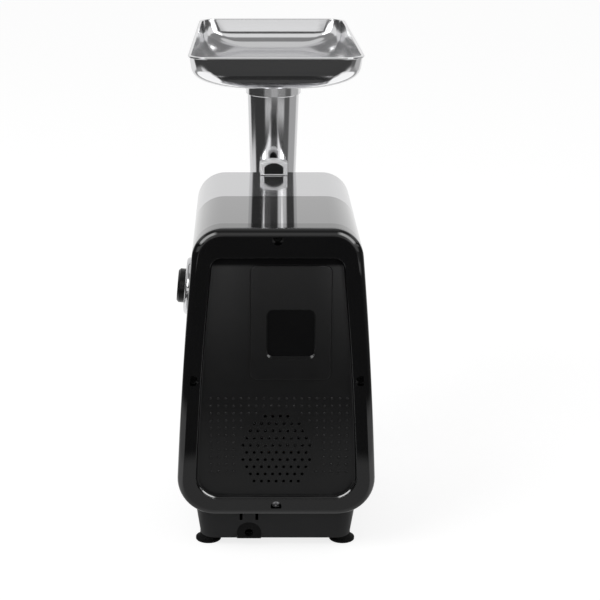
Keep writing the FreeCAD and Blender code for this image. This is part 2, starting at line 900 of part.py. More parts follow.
def gear_outline(teeth, module, phase):
    # closed polygon of stub involute teeth, in the plane across the depth
    pitch = teeth * module / 2
    base_circle = pitch * math.cos(pressure_angle)
    tip = pitch + addendum * module
    root = pitch - dedendum * module
    half_tooth = math.pi / (2 * teeth) - backlash / (2 * pitch)
    flank_radii = [max(root, base_circle), pitch, tip]

    def half_angle(radius):
        lean = math.acos(min(1.0, base_circle / radius))
        return half_tooth + involute(pressure_angle) - involute(lean)

    flank = [(radius, half_angle(radius)) for radius in flank_radii]
    if root < base_circle:
        flank = [(root, flank[0][1])] + flank
    points = []
    for tooth in range(teeth):
        centre = phase + tooth * 2 * math.pi / teeth
        for radius, spread in flank:
            points.append((radius, centre - spread))
        for radius, spread in reversed(flank):
            points.append((radius, centre + spread))
    return points


def gear(teeth, module, phase, start, width, height):
    # spur gear about an axis along the depth; phase 0 points a tooth straight up
    y = y_at(start)
    corners = [V(radius * math.sin(turn), y, height + radius * math.cos(turn))
               for radius, turn in gear_outline(teeth, module, phase)]
    return Part.Face(Part.makePolygon(corners + corners[:1])).extrude(V(0, -width, 0))


def driven_phase(teeth):
    # a gap of the driven gear faces straight down, where the driving tooth stands
    return math.pi + math.pi / teeth


def motor_pinion():
    pinion = gear(first_pinion_teeth, first_module, 0.0, first_start - pinion_overhang,
                  first_width + 2 * pinion_overhang, motor_axis)
    return pinion.cut(rod(pinion_bore(), gear_inner_rear, second_start, 0, motor_axis))


def pinion_bore():
    # the motor shaft steps down under its pinion
    return first_module * (first_pinion_teeth / 2 - dedendum) - pinion_wall


def driven_wheel(teeth, module, start, width, height, bore):
    # driven gear with a thinner web between its rim and its hub
    wheel = gear(teeth, module, driven_phase(teeth), start, width, height)
    rim = module * teeth / 2 - rim_modules * module
    hub = bore + hub_wall
    web = width / 3
    for face_start in (start - 1, start + width - web):
        groove = tube(rim, hub, face_start, face_start + web + 1, 0, height)
        wheel = wheel.cut(groove)
    return wheel.cut(rod(bore + seat_fit, start - 1, start + width + 1, 0, height))


def first_gear():
    return driven_wheel(first_gear_teeth, first_module, first_start, first_width, first_axis,
                        gear_shaft_radius)


def second_gear():
    return driven_wheel(second_gear_teeth, second_module, second_start, second_width, second_axis,
                        gear_shaft_radius)


def output_gear():
    return driven_wheel(third_gear_teeth, third_module, third_start, third_width, barrel_height,
                        output_shaft_radius)


def gear_shaft(teeth, module, start, width, height):
    # axle through both plates with its pinion cut on it
    axle = rod(gear_shaft_radius, gear_rear_depth, gear_front_depth, 0, height)
    pinion = gear(teeth, module, 0.0, start - pinion_overhang, width + 2 * pinion_overhang, height)
    return axle.fuse(pinion)


def first_shaft():
    return gear_shaft(second_pinion_teeth, second_module, second_start, second_width, first_axis)


def second_shaft():
    return gear_shaft(third_pinion_teeth, third_module, third_start, third_width, second_axis)


def hub_end():
    return gear_front_depth + drive_hub_length + face_gap


def output_shaft():
    # shaft through both plates, ending in a hub with a square socket
    shaft = rod(output_shaft_radius, gear_rear_depth, gear_front_depth + face_gap, 0, barrel_height)
    hub = rod(drive_hub_radius, gear_front_depth + face_gap, hub_end(), 0, barrel_height)
    half = drive_square / 2
    socket = block(-half, half, gear_front_depth + 2 * face_gap, hub_end() + 1,
                   barrel_height - half, barrel_height + half)
    return shaft.fuse(hub).cut(socket).removeSplitter()


def motor_bolt_spots():
    side = stator_half_width - motor_bolt_inset
    return [-side, side]


def stator_core():
    # laminated block with a round bore, two coil slots and two bolt holes
    core = rounded_block(-stator_half_width, stator_half_width, stator_start, stator_end,
                         motor_axis - stator_half_height, motor_axis + stator_half_height, stator_corner)
    core = core.cut(rod(stator_bore, stator_start - 1, stator_end + 1, 0, motor_axis))
    for low, high in coil_heights():
        core = core.cut(block(-coil_half_width - seat_fit, coil_half_width + seat_fit, stator_start - 1,
                              stator_end + 1, low - seat_fit, high + seat_fit))
    for x in motor_bolt_spots():
        core = core.cut(rod(motor_bolt_radius + screw_clearance, stator_start - 1, stator_end + 1,
                            x, motor_axis))
    return core


def coil_heights():
    outer = stator_half_height - coil_inset
    return [(motor_axis + outer - coil_thickness, motor_axis + outer),
            (motor_axis - outer, motor_axis - outer + coil_thickness)]


def field_coils():
    coils = []
    for low, high in coil_heights():
        coil = block(-coil_half_width, coil_half_width, stator_start - coil_overhang,
                     stator_end + coil_overhang, low, high)
        coils.append(coil.makeFillet(coil_thickness / 3, long_edges(coil, high - low, V(0, 0, 1))))
    return Part.makeCompound(coils)


def bracket_end():
    return motor_rear_depth + motor_bracket


def motor_rear_bracket():
    # bar across the back of the motor that carries the rear bearing
    half = motor_bracket_height / 2
    bar = rounded_block(-stator_half_width, stator_half_width, motor_rear_depth, bracket_end(),
                        motor_axis - half, motor_axis + half, half / 2)
    bar = bar.cut(rod(bearing_radius + seat_fit, motor_rear_depth - 1, bracket_end() + 1, 0, motor_axis))
    for x in motor_bolt_spots():
        bar = bar.cut(rod(motor_bolt_radius + screw_clearance, motor_rear_depth - 1, bracket_end() + 1,
                          x, motor_axis))
    return bar


def motor_bolts():
    bolts = []
    for x in motor_bolt_spots():
        length = gear_inner_rear - motor_rear_depth
        bolt = cross_screw(motor_bolt_radius - running_fit, screw_head_radius, screw_head_height, length)
        bolt.rotate(V(0, 0, 0), V(1, 0, 0), 90)
        bolt.translate(V(x, y_at(motor_rear_depth), motor_axis))
        bolts.append(bolt)
    return Part.makeCompound(bolts)


def motor_spacers():
    spacers = []
    for x in motor_bolt_spots():
        for start, end in ((bracket_end(), stator_start), (stator_end, gear_rear_depth)):
            spacers.append(tube(motor_spacer_radius, motor_bolt_radius + screw_clearance, start, end,
                                x, motor_axis))
    return Part.makeCompound(spacers)


def motor_shaft():
    main = rod(shaft_radius, motor_rear_depth, gear_inner_rear, 0, motor_axis)
    nose = rod(pinion_bore() - seat_fit, gear_inner_rear, first_start + first_width, 0, motor_axis)
    return main.fuse(nose).removeSplitter()


def on_shaft(radius, start, end):
    return tube(radius, shaft_radius + seat_fit, start, end, 0, motor_axis)


def armature_core():
    # slotted lamination stack
    radius = stator_bore - air_gap
    stack = on_shaft(radius, stator_start, stator_end)
    slots = []
    for index in range(armature_slots):
        slot = block(-slot_width / 2, slot_width / 2, stator_start - 1, stator_end + 1,
                     motor_axis + radius - slot_depth, motor_axis + radius + 1)
        slot.rotate(V(0, 0, motor_axis), V(0, 1, 0), index * 360 / armature_slots)
        slots.append(slot)
    return stack.cut(Part.makeCompound(slots))


def armature_windings():
    rear = on_shaft(winding_radius, stator_start - winding_length, stator_start)
    front = on_shaft(winding_radius, stator_end, stator_end + winding_length)
    return Part.makeCompound([rear, front])


def commutator():
    return on_shaft(commutator_radius, commutator_start, commutator_end)


def cooling_fan():
    # hub, back disc and radial blades
    fan = on_shaft(fan_hub_radius, fan_start, fan_end)
    disc = on_shaft(fan_radius, fan_end - fan_sheet, fan_end)
    fan = fan.fuse(disc)
    for index in range(fan_blades):
        blade = block(-fan_sheet / 2, fan_sheet / 2, fan_start, fan_end - fan_sheet / 2,
                      motor_axis + fan_hub_radius - 1, motor_axis + fan_radius)
        blade = blade.common(rod(fan_radius, fan_start, fan_end, 0, motor_axis))
        blade.rotate(V(0, 0, motor_axis), V(0, 1, 0), index * 360 / fan_blades)
        fan = fan.fuse(blade)
    return fan.removeSplitter()


def bearing(start, end):
    return tube(bearing_radius, shaft_radius + running_fit, start, end, 0, motor_axis)


def brush_middle():
    return (commutator_start + commutator_end) / 2


def brush_box(side, near, far, grow, start, end):
    half = brush_height / 2 + grow
    low_x, high_x = sorted((side * near, side * far))
    return block(low_x, high_x, start, end, motor_axis - half, motor_axis + half)


def brush_reach():
    near = commutator_radius + brush_gap
    return near, near + brush_length


def carbon_brushes():
    near, far = brush_reach()
    half = brush_width / 2
    return Part.makeCompound([brush_box(side, near, far, 0, brush_middle() - half, brush_middle() + half)
                              for side in (-1, 1)])


def brush_holders():
    # open boxes that stand on the rear bracket and guide the brushes
    near, far = brush_reach()
    half = brush_width / 2 + seat_fit
    holders = []
    for side in (-1, 1):
        outer = brush_box(side, near + brush_holder_wall, far + brush_holder_wall, brush_holder_wall,
                          bracket_end(), brush_middle() + half + brush_holder_wall)
        inner = brush_box(side, near, far + seat_fit, seat_fit, brush_middle() - half, brush_middle() + half)
        holders.append(outer.cut(inner))
    return Part.makeCompound(holders)


def tube_radius(z):
    # outside radius of the feed tube: a slow taper below the tray's collar
    share = (z - tube_taper_start) / (tube_taper_end - tube_taper_start)
    share = min(1.0, max(0.0, share))
    return tube_radius_bottom + share * (tube_radius_top - tube_radius_bottom)


def feed_cone(shrink, low, high):
    centre = V(0, y_at(tube_depth), low)
    return Part.makeCone(tube_radius(low) - shrink, tube_radius(high) - shrink, high - low, centre)


def head_body():
    # sleeve, barrel and threaded collar on one axis, with the feed tube standing on the barrel
    sleeve_start = barrel_start - sleeve_length
    body = rod(sleeve_radius, sleeve_start, barrel_start + 1, 0, barrel_height)
    barrel = rod(barrel_radius, barrel_start, barrel_end, 0, barrel_height)
    collar = rod(collar_radius, barrel_end - collar_length, barrel_end, 0, barrel_height)
    body = body.fuse(barrel).fuse(collar)
    neck = Part.makeCone(neck_radius, tube_radius_bottom, neck_height,
                         V(0, y_at(tube_depth), tube_taper_start - neck_height))
    stem = post(tube_radius_bottom, barrel_height, tube_taper_start, 0, tube_depth)
    crown = post(tube_radius_top, tube_taper_end, tube_top, 0, tube_depth)
    body = body.fuse(stem).fuse(neck).fuse(feed_cone(0, tube_taper_start, tube_taper_end)).fuse(crown)
    body = body.cut(rod(sleeve_bore, sleeve_start - 1, barrel_start + auger_gap, 0, barrel_height))
    body = body.cut(rod(barrel_bore, barrel_start + auger_gap, barrel_end + 1, 0, barrel_height))
    body = body.cut(rod(plate_radius + plate_clearance, plate_start, barrel_end + 1, 0, barrel_height))
    throat = post(tube_radius_bottom - tube_wall, barrel_height, tube_taper_start, 0, tube_depth)
    mouth = post(tube_radius_top - tube_wall, tube_taper_end, tube_top + 1, 0, tube_depth)
    funnel = feed_cone(tube_wall, tube_taper_start, tube_taper_end)
    body = body.cut(throat).cut(funnel).cut(mouth)
    notch = post(lock_pin_radius + screw_clearance, lock_pin_tip() - screw_clearance,
                 barrel_height + sleeve_radius + 1, 0, lock_depth)
    return body.cut(notch).removeSplitter()


def auger_ends():
    start = barrel_start + auger_gap + coupler_gap
    end = plate_start - knife_thickness - knife_shoulder - knife_gap
    return start, end


def auger():
    # core with one helical flight, a square for the knife and a pin that runs in the plate
    start, end = auger_ends()
    core = rod(auger_core, start, end, 0, barrel_height)
    length = end - start - flight_thickness
    inner = auger_core - 1
    helix = Part.makeHelix(auger_pitch, length, inner)
    depth = auger_radius - inner
    section = Part.makePolygon([V(inner, 0, 0), V(inner + depth, 0, 0),
                                V(inner + depth, 0, flight_thickness * 0.6),
                                V(inner, 0, flight_thickness), V(inner, 0, 0)])
    flight = Part.Wire(helix).makePipeShell([section], True, True)
    flight.rotate(V(0, 0, 0), V(1, 0, 0), -90)
    flight.translate(V(0, y_at(end), barrel_height))
    body = core.fuse(flight)
    half = knife_square / 2 - drive_clearance
    square = block(-half, half, end, plate_start, barrel_height - half, barrel_height + half)
    pin_end = plate_start + plate_thickness - plate_proud
    pin = rod(plate_pin_radius - running_fit, plate_start - 1, pin_end, 0, barrel_height)
    return body.fuse(square).fuse(pin).removeSplitter()


def auger_coupler():
    # moulded coupler on the auger's tail: a disc and a square shank in the drive socket
    start, _ = auger_ends()
    half = drive_square / 2 - drive_clearance
    shank = block(-half, half, gear_front_depth + 2 * face_gap + drive_clearance, start,
                  barrel_height - half, barrel_height + half)
    disc = rod(coupler_radius, start - auger_gap, start, 0, barrel_height)
    return shank.fuse(disc).removeSplitter()


def knife():
    # four-armed knife on the auger's square, just behind the plate
    _, end = auger_ends()
    start = end + knife_shoulder
    stop = start + knife_thickness
    cross = rod(knife_hub_radius, start, stop, 0, barrel_height)
    for index in range(4):
        arm = block(-knife_blade_width / 2, knife_blade_width / 2, start, stop,
                    barrel_height, barrel_height + knife_radius)
        arm = arm.common(rod(knife_radius, start, stop, 0, barrel_height))
        arm.rotate(V(0, 0, barrel_height), V(0, 1, 0), index * 90)
        cross = cross.fuse(arm)
    half = knife_square / 2
    eye = block(-half, half, start - 1, stop + 1, barrel_height - half, barrel_height + half)
    return cross.cut(eye).removeSplitter()


def plate_hole_spots():
    # rings of holes that keep an even pitch round the plate
    pitch = 2 * plate_hole_radius + plate_hole_web
    spots = []
    ring = plate_pin_radius + plate_hole_radius + plate_hole_web
    while ring + plate_hole_radius < nut_lip_bore:
        count = int(2 * math.pi * ring / pitch)
        for index in range(count):
            turn = 2 * math.pi * index / count
            spots.append((ring * math.cos(turn), barrel_height + ring * math.sin(turn)))
        ring += pitch
    return spots


def cutting_plate():
    end = plate_start + plate_thickness
    plate = rod(plate_radius, plate_start, end, 0, barrel_height)
    holes = [rod(plate_hole_radius, plate_start - 1, end + 1, x, z) for x, z in plate_hole_spots()]
    holes.append(rod(plate_pin_radius, plate_start - 1, end + 1, 0, barrel_height))
    return plate.cut(Part.makeCompound(holes))


def ring_nut():
    # lobed ring over the barrel's collar, with a lip in front of the plate
    lip_start = plate_start + plate_thickness + plate_clearance
    end = lip_start + nut_lip
    start = end - nut_length
    nut = rod(nut_radius, start, end, 0, barrel_height)
    front = [edge for edge in nut.Edges if abs(edge.BoundBox.YMin - y_at(end)) < 1e-4
             and abs(edge.BoundBox.YMax - y_at(end)) < 1e-4]
    nut = nut.makeFillet(nut_lip / 3, front)
    for index in range(nut_lug_count):
        turn = 2 * math.pi * (index + 0.5) / nut_lug_count
        reach = nut_radius - nut_lug_radius / 3
        lug = rod(nut_lug_radius, start, end - nut_lip, reach * math.sin(turn),
                  barrel_height + reach * math.cos(turn))
        nut = nut.fuse(lug)
    nut = nut.cut(rod(collar_radius + nut_clearance, start - 1, lip_start, 0, barrel_height))
    return nut.cut(rod(nut_lip_bore, start, end + 1, 0, barrel_height)).removeSplitter()


def tray_outline(grow, corner, z):
    # rounded trapezium, wider at the rear, as lines and tangent arcs
    rear = y_at(tube_depth - tray_rear_reach) + grow
    front = y_at(tube_depth + tray_front_reach) - grow
    half_rear = tray_width_rear / 2 + grow
    half_front = tray_width_front / 2 + grow
    corners = [V(half_rear, rear, z), V(-half_rear, rear, z),
               V(-half_front, front, z), V(half_front, front, z)]
    edges = []
    ends = []
    for index in range(4):
        here = corners[index]
        before = (corners[index - 1] - here).normalize()
        after = (corners[(index + 1) % 4] - here).normalize()
        half_turn = before.getAngle(after) / 2
        run = corner / math.tan(half_turn)
        bisector = (before + after).normalize()
        middle = here + bisector * (corner / math.sin(half_turn) - corner)
        ends.append((here + before * run, middle, here + after * run))
    for index in range(4):
        first, middle, last = ends[index]
        edges.append(Part.Arc(first, middle, last).toShape())
        edges.append(Part.LineSegment(last, ends[(index + 1) % 4][0]).toShape())
    return Part.Wire(edges)


def tray_bowl(inset, floor, rim, floor_round):
    # pan with leaning walls and a rounded floor edge
    low = tray_outline(-tray_rim - tray_draft - inset, tray_floor_corner - inset, floor)
    high = tray_outline(-tray_rim - inset, tray_corner - tray_rim - inset, rim)
    pan = Part.makeLoft([low, high], True, True)
    edges = [edge for edge in pan.Edges
             if all(abs(vertex.Z - floor) < 1e-4 for vertex in edge.Vertexes)]
    return pan.makeFillet(floor_round, edges)


def tray():
    rim = tube_top + tray_height
    outer = tray_bowl(0, tube_top, rim, tray_floor_round)
    lip = Part.Face(tray_outline(0, tray_corner, rim - tray_rim_height)).extrude(V(0, 0, tray_rim_height))
    inner = tray_bowl(tray_sheet, tube_top + tray_sheet, rim + tray_sheet, tray_floor_round - tray_sheet)
    collar_radius_in = tube_radius_top + tray_collar_clearance
    collar = post(collar_radius_in + tray_collar_wall, tube_top - tray_collar_drop, tube_top + tray_sheet,
                  0, tube_depth)
    flange = post(tray_flange_radius, tube_top - tray_flange, tube_top + tray_sheet, 0, tube_depth)
    bore = post(collar_radius_in, tube_top - tray_collar_drop - 1, tube_top, 0, tube_depth)
    mouth = post(tube_radius_top - tube_wall, tube_top - 1, tube_top + 2 * tray_sheet, 0, tube_depth)
    pan = outer.fuse(lip).cut(inner)
    return pan.fuse(collar).fuse(flange).cut(bore).cut(mouth).removeSplitter()


def front_bearing():
    return bearing(gear_rear_depth, gear_inner_rear)


def rear_bearing():
    return bearing(motor_rear_depth, bracket_end())


def parts():
    pieces = {
        "rear_cover": rear_cover(),
        "rear_cover_screws": rear_cover_screws(),
        "body_shell": body_shell(),
        "front_shell": front_shell(),
        "base": base(),
        "base_screws": base_screws(),
        "cord_gland": cord_gland(),
        "control_panel": control_panel(),
        "control_knob": control_knob(),
        "rotary_switch": rotary_switch(),
        "lock_button": lock_button(),
        "lock_trim": lock_trim(),
        "lock_pin": lock_pin(),
        "lock_spring": lock_spring(),
        "lock_guide": lock_guide(),
        "gear_plate_rear": gear_plate_rear(),
        "gear_plate_front": gear_plate_front(),
        "gear_plate_spacers": gear_plate_spacers(),
        "gear_plate_screws": gear_plate_screws(),
        "first_shaft_bushes": bush_pair(gear_shaft_radius, first_axis),
        "second_shaft_bushes": bush_pair(gear_shaft_radius, second_axis),
        "output_shaft_bushes": bush_pair(output_shaft_radius, barrel_height),
        "motor_rear_bracket": motor_rear_bracket(),
        "motor_bolts": motor_bolts(),
        "motor_spacers": motor_spacers(),
        "stator_core": stator_core(),
        "field_coils": field_coils(),
        "rear_bearing": rear_bearing(),
        "front_bearing": front_bearing(),
        "brush_holders": brush_holders(),
        "carbon_brushes": carbon_brushes(),
        "motor_shaft": motor_shaft(),
        "motor_pinion": motor_pinion(),
        "armature_core": armature_core(),
        "armature_windings": armature_windings(),
        "commutator": commutator(),
        "cooling_fan": cooling_fan(),
        "first_gear": first_gear(),
        "first_shaft": first_shaft(),
        "second_gear": second_gear(),
        "second_shaft": second_shaft(),
        "output_gear": output_gear(),
        "output_shaft": output_shaft(),
        "head_body": head_body(),
        "auger": auger(),
        "auger_coupler": auger_coupler(),
        "knife": knife(),
        "cutting_plate": cutting_plate(),
        "ring_nut": ring_nut(),
        "tray": tray(),
    }
    for name, (x, depth) in foot_spots().items():
        pieces[name] = foot(x, depth)
    return pieces


os.makedirs("parts", exist_ok=True)
for name, shape in parts().items():
    state = "valid" if shape.isValid() else "INVALID"
    print(name, len(shape.Solids), "solids", round(shape.Volume), "mm3", state)
    shape.exportStep("parts/" + name + ".step")
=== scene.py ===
import json
import math
import bmesh
import bpy
import numpy as np
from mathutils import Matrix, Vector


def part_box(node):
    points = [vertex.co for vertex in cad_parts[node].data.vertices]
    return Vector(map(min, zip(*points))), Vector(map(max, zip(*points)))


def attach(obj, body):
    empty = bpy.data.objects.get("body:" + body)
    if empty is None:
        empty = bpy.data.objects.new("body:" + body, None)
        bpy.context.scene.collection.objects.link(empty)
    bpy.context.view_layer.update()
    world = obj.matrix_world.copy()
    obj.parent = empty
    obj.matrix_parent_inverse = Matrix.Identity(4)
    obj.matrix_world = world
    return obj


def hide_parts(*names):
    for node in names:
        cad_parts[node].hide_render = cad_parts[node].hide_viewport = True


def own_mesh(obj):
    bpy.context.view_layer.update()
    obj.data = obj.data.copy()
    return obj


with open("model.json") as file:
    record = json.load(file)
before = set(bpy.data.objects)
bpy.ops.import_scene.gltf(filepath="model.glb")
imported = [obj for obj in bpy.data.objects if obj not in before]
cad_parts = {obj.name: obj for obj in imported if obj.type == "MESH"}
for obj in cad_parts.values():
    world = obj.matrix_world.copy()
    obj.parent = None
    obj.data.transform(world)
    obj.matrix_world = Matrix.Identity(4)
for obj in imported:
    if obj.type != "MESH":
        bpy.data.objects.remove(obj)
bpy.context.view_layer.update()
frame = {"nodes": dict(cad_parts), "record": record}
nodes = frame["nodes"]
mm = 0.001
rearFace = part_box("rear_cover")[1][1]
tubeInset = 243.0            # mm from the rear cover's face to the feed tube's axis
tubeAxis = rearFace - tubeInset * mm
print("frame loaded:", len(nodes), "nodes")


# Camera, set where the photograph was taken from: behind the machine and a little above it

cameraSetup = {
    "place": (28.79 * mm, rearFace + 1275.75 * mm, 657.78 * mm),
    "tiltDown": 18.1325,      # degrees
    "lens": 94.763,           # mm, on the sensor below
    "sensor": 36.0,
    "shiftRight": 0.0939,     # share of the picture's width
    "clip": (0.05, 50.0),     # metres
}


def makeCamera(setup):
    data = bpy.data.cameras.new("photoCamera")
    data.lens = setup["lens"]
    data.sensor_width = setup["sensor"]
    data.shift_x = setup["shiftRight"]
    data.clip_start, data.clip_end = setup["clip"]
    camera = bpy.data.objects.new("photoCamera", data)
    camera.location = setup["place"]
    camera.rotation_euler = (math.radians(90 - setup["tiltDown"]), 0, math.pi)
    bpy.context.scene.collection.objects.link(camera)
    bpy.context.scene.camera = camera


# Short ways to add shader nodes

# Takes a signal as a link and a number as the socket's own value
def setOrLink(tree, socket, value):
    if hasattr(value, "is_linked"):
        tree.links.new(value, socket)
    else:
        socket.default_value = value


def addMath(tree, operation, *values):
    node = tree.nodes.new("ShaderNodeMath")
    node.operation = operation
    for socket, value in zip(node.inputs, values):
        setOrLink(tree, socket, value)
    return node.outputs[0]


# Root of the sum of two squares
def addLength(tree, first, second):
    squares = [addMath(tree, "POWER", way, 2.0) for way in (first, second)]
    return addMath(tree, "SQRT", addMath(tree, "ADD", *squares))


# Low below the first limit, high above the second, an even S curve between
def addStep(tree, value, first, second, low=0.0, high=1.0):
    node = tree.nodes.new("ShaderNodeMapRange")
    node.interpolation_type = "SMOOTHSTEP"
    for name, number in (("From Min", first), ("From Max", second), ("To Min", low), ("To Max", high)):
        node.inputs[name].default_value = number
    tree.links.new(value, node.inputs["Value"])
    return node.outputs["Result"]


# Goes from one number or signal to another as the factor goes from 0 to 1
def addBlend(tree, factor, first, second):
    node = tree.nodes.new("ShaderNodeMix")
    setOrLink(tree, node.inputs["Factor"], factor)
    setOrLink(tree, node.inputs["A"], first)
    setOrLink(tree, node.inputs["B"], second)
    return node.outputs["Result"]


# X, Y and Z of a point of the object, or of a direction in the room
def addPlace(tree, kind="Object"):
    place = tree.nodes.new("ShaderNodeTexCoord").outputs[kind]
    node = tree.nodes.new("ShaderNodeSeparateXYZ")
    tree.links.new(place, node.inputs[0])
    return list(node.outputs)


def addMixShader(tree, factor, first, second):
    node = tree.nodes.new("ShaderNodeMixShader")
    tree.links.new(factor, node.inputs[0])
    tree.links.new(first, node.inputs[1])
    tree.links.new(second, node.inputs[2])
    return node.outputs[0]


# Studio: white paper floor and a white room. Polished pieces mirror white cards and dark gaps between them

studio = {
    "floorHalf": 6.0,          # metres
    "floorDrop": 0.0002,       # below the feet
    "roomWhite": 0.8,
    "seen": 1.24,              # brightness of the room to the eye
    "fill": 0.62,              # and its light on matt surfaces
    "paperWhite": 0.9,
    "paperGlow": 1.27,
    "paperShare": 0.63,        # share of the paper's white that shadows can't reach
    # What polished pieces mirror of the room. Cards give an angle, from which on, and a brightness
    "cardEdge": 5.0,           # degrees, half of the soft step between two cards
    "horizon": ((-180, 1.15), (-112, 0.12), (-55, 1.15), (55, 0.12), (112, 1.15)),
    "lowRoom": ((-180, 0.12), (-68, 1.5), (-24, 0.06)),
    "darkRoom": ((-180, 0.12), (-53, 2.0), (-21, 0.12), (12, 2.0), (41, 0.12)),
    "highCard": 1.0,           # over the camera and the sides
    "overhead": 0.30,
    "zenith": 0.80,
    # Sines of the rise where each band turns into the next, from the horizon up
    "bandEnds": ((0.12, 0.18), (0.230, 0.245), (0.31, 0.34), (0.62, 0.70), (0.915, 0.945)),
    "backdrop": 1.05,          # beyond the front of the machine
    "backdropStart": (-0.40, -0.60),
    "strip": 8.0,              # two curved strip lights, left and right, beside the camera
    "stripView": (0.978, 0.21),              # the way to the camera, back and up
    "stripTilt": (23.0, 26.0, 29.5, 33.0),   # degrees of tilt of a surface that mirrors them
    "stripTurn": (29.0, 36.0, 66.0, 78.0),   # and the way it tilts, from level to straight up
    # What they mirror of the paper. A reach is in metres from the feed tube
    "paperCards": ((-180, 0.85), (-128, 0.46), (-78, 0.12), (-50, "card"), (-18, "gap"), (10, "card"),
                   (38, 0.05), (95, "side"), (126, 0.85)),
    "gapGlow": (0.05, 0.40),   # gap between the cards on the camera's side, near and far
    "gapReach": (1.35, 1.60),
    "cardStart": (1.31, 1.34),               # the two cards beside that gap
    "cardGlow": (1.0, 0.25),
    "cardEnd": (1.36, 1.52),
    "sideGlow": (0.85, 0.05),  # paper left of the machine, near and far
    "sideReach": (1.20, 1.35),
    "nearPaper": ((-180, 1.1), (-28, 0.45), (28, 1.1)),
    "nearPaperReach": (0.445, 0.485),        # where the paper by the machine ends
    "sidePaper": ((-180, 0.3), (-58, 0.8), (-20, 0.05), (20, 0.8), (58, 0.3)),
    "sidePaperReach": (0.58, 0.68),          # and the paper round that
    "lampPowers": (18.0, 4.0),               # watts
    "lampSize": (1.2, 1.2),
    "lampPlaces": ((1.3, 1.0, 1.7), (-1.1, 0.7, 1.9)),
    "lampAim": (0.0, 0.0, 0.2),
}


# Brightness that changes in soft steps with the angle, in degrees from the camera's side, positive to the left
def addCards(tree, x, y, cards):
    angle = addMath(tree, "DEGREES", addMath(tree, "ARCTAN2", x, y))
    glow = cards[0][1]
    for start, brightness in cards[1:]:
        step = addStep(tree, angle, start - studio["cardEdge"], start + studio["cardEdge"])
        glow = addBlend(tree, step, glow, brightness)
    return glow


# The room's bands and cards. A point of the room is seen in a surface that faces halfway between it and the
# camera, and the strip lights lie where that surface has the wanted tilt and turn
def makeWorld():
    world = bpy.data.worlds.new("studioWorld")
    bpy.context.scene.world = world
    world.use_nodes = True
    tree = world.node_tree
    tree.nodes.clear()
    path = tree.nodes.new("ShaderNodeLightPath").outputs
    x, y, z = addPlace(tree, "Generated")
    mirrored = addCards(tree, x, y, studio["horizon"])
    bands = (addCards(tree, x, y, studio["lowRoom"]), addCards(tree, x, y, studio["darkRoom"]),
             studio["highCard"], studio["overhead"], studio["zenith"])
    for ends, above in zip(studio["bandEnds"], bands):
        mirrored = addBlend(tree, addStep(tree, z, *ends), mirrored, above)
    mirrored = addBlend(tree, addStep(tree, y, *studio["backdropStart"]), mirrored, studio["backdrop"])
    halfX = addMath(tree, "ABSOLUTE", x)
    halfY, halfZ = [addMath(tree, "ADD", way, view) for way, view in zip((y, z), studio["stripView"])]
    aside = addLength(tree, halfX, halfZ)
    lit = 1.0
    for first, second, limits in ((aside, halfY, studio["stripTilt"]), (halfZ, halfX, studio["stripTurn"])):
        angle = addMath(tree, "DEGREES", addMath(tree, "ARCTAN2", first, second))
        lit = addMath(tree, "MULTIPLY", lit, addStep(tree, angle, *limits[:2]))
        lit = addMath(tree, "MULTIPLY", lit, addStep(tree, angle, *limits[2:], 1.0, 0.0))
    mirrored = addBlend(tree, lit, mirrored, studio["strip"])
    strength = addBlend(tree, path["Is Glossy Ray"], studio["fill"], mirrored)
    seen = addMath(tree, "MAXIMUM", path["Is Camera Ray"], path["Is Transmission Ray"])
    strength = addBlend(tree, seen, strength, studio["seen"])
    background = tree.nodes.new("ShaderNodeBackground")
    background.inputs["Color"].default_value = (*[studio["roomWhite"]] * 3, 1)
    tree.links.new(strength, background.inputs["Strength"])
    output = tree.nodes.new("ShaderNodeOutputWorld")
    tree.links.new(background.outputs[0], output.inputs["Surface"])


# What polished pieces mirror in the paper: cards round the feed tube, and plain paper close to the machine
def addPaperPattern(tree):
    x, y = addPlace(tree)[:2]
    y = addMath(tree, "SUBTRACT", y, tubeAxis)
    reach = addLength(tree, x, y)
    gap = addStep(tree, reach, *studio["gapReach"], *studio["gapGlow"])
    card = addStep(tree, reach, *studio["cardEnd"], *studio["cardGlow"])
    card = addBlend(tree, addStep(tree, reach, *studio["cardStart"]), studio["gapGlow"][0], card)
    side = addStep(tree, reach, *studio["sideReach"], *studio["sideGlow"])
    glows = {"gap": gap, "card": card, "side": side}
    glow = addCards(tree, x, y, [(start, glows.get(glow, glow)) for start, glow in studio["paperCards"]])
    for name in ("sidePaper", "nearPaper"):
        paper = addCards(tree, x, y, studio[name])
        glow = addBlend(tree, addStep(tree, reach, *studio[name + "Reach"]), paper, glow)
    return glow


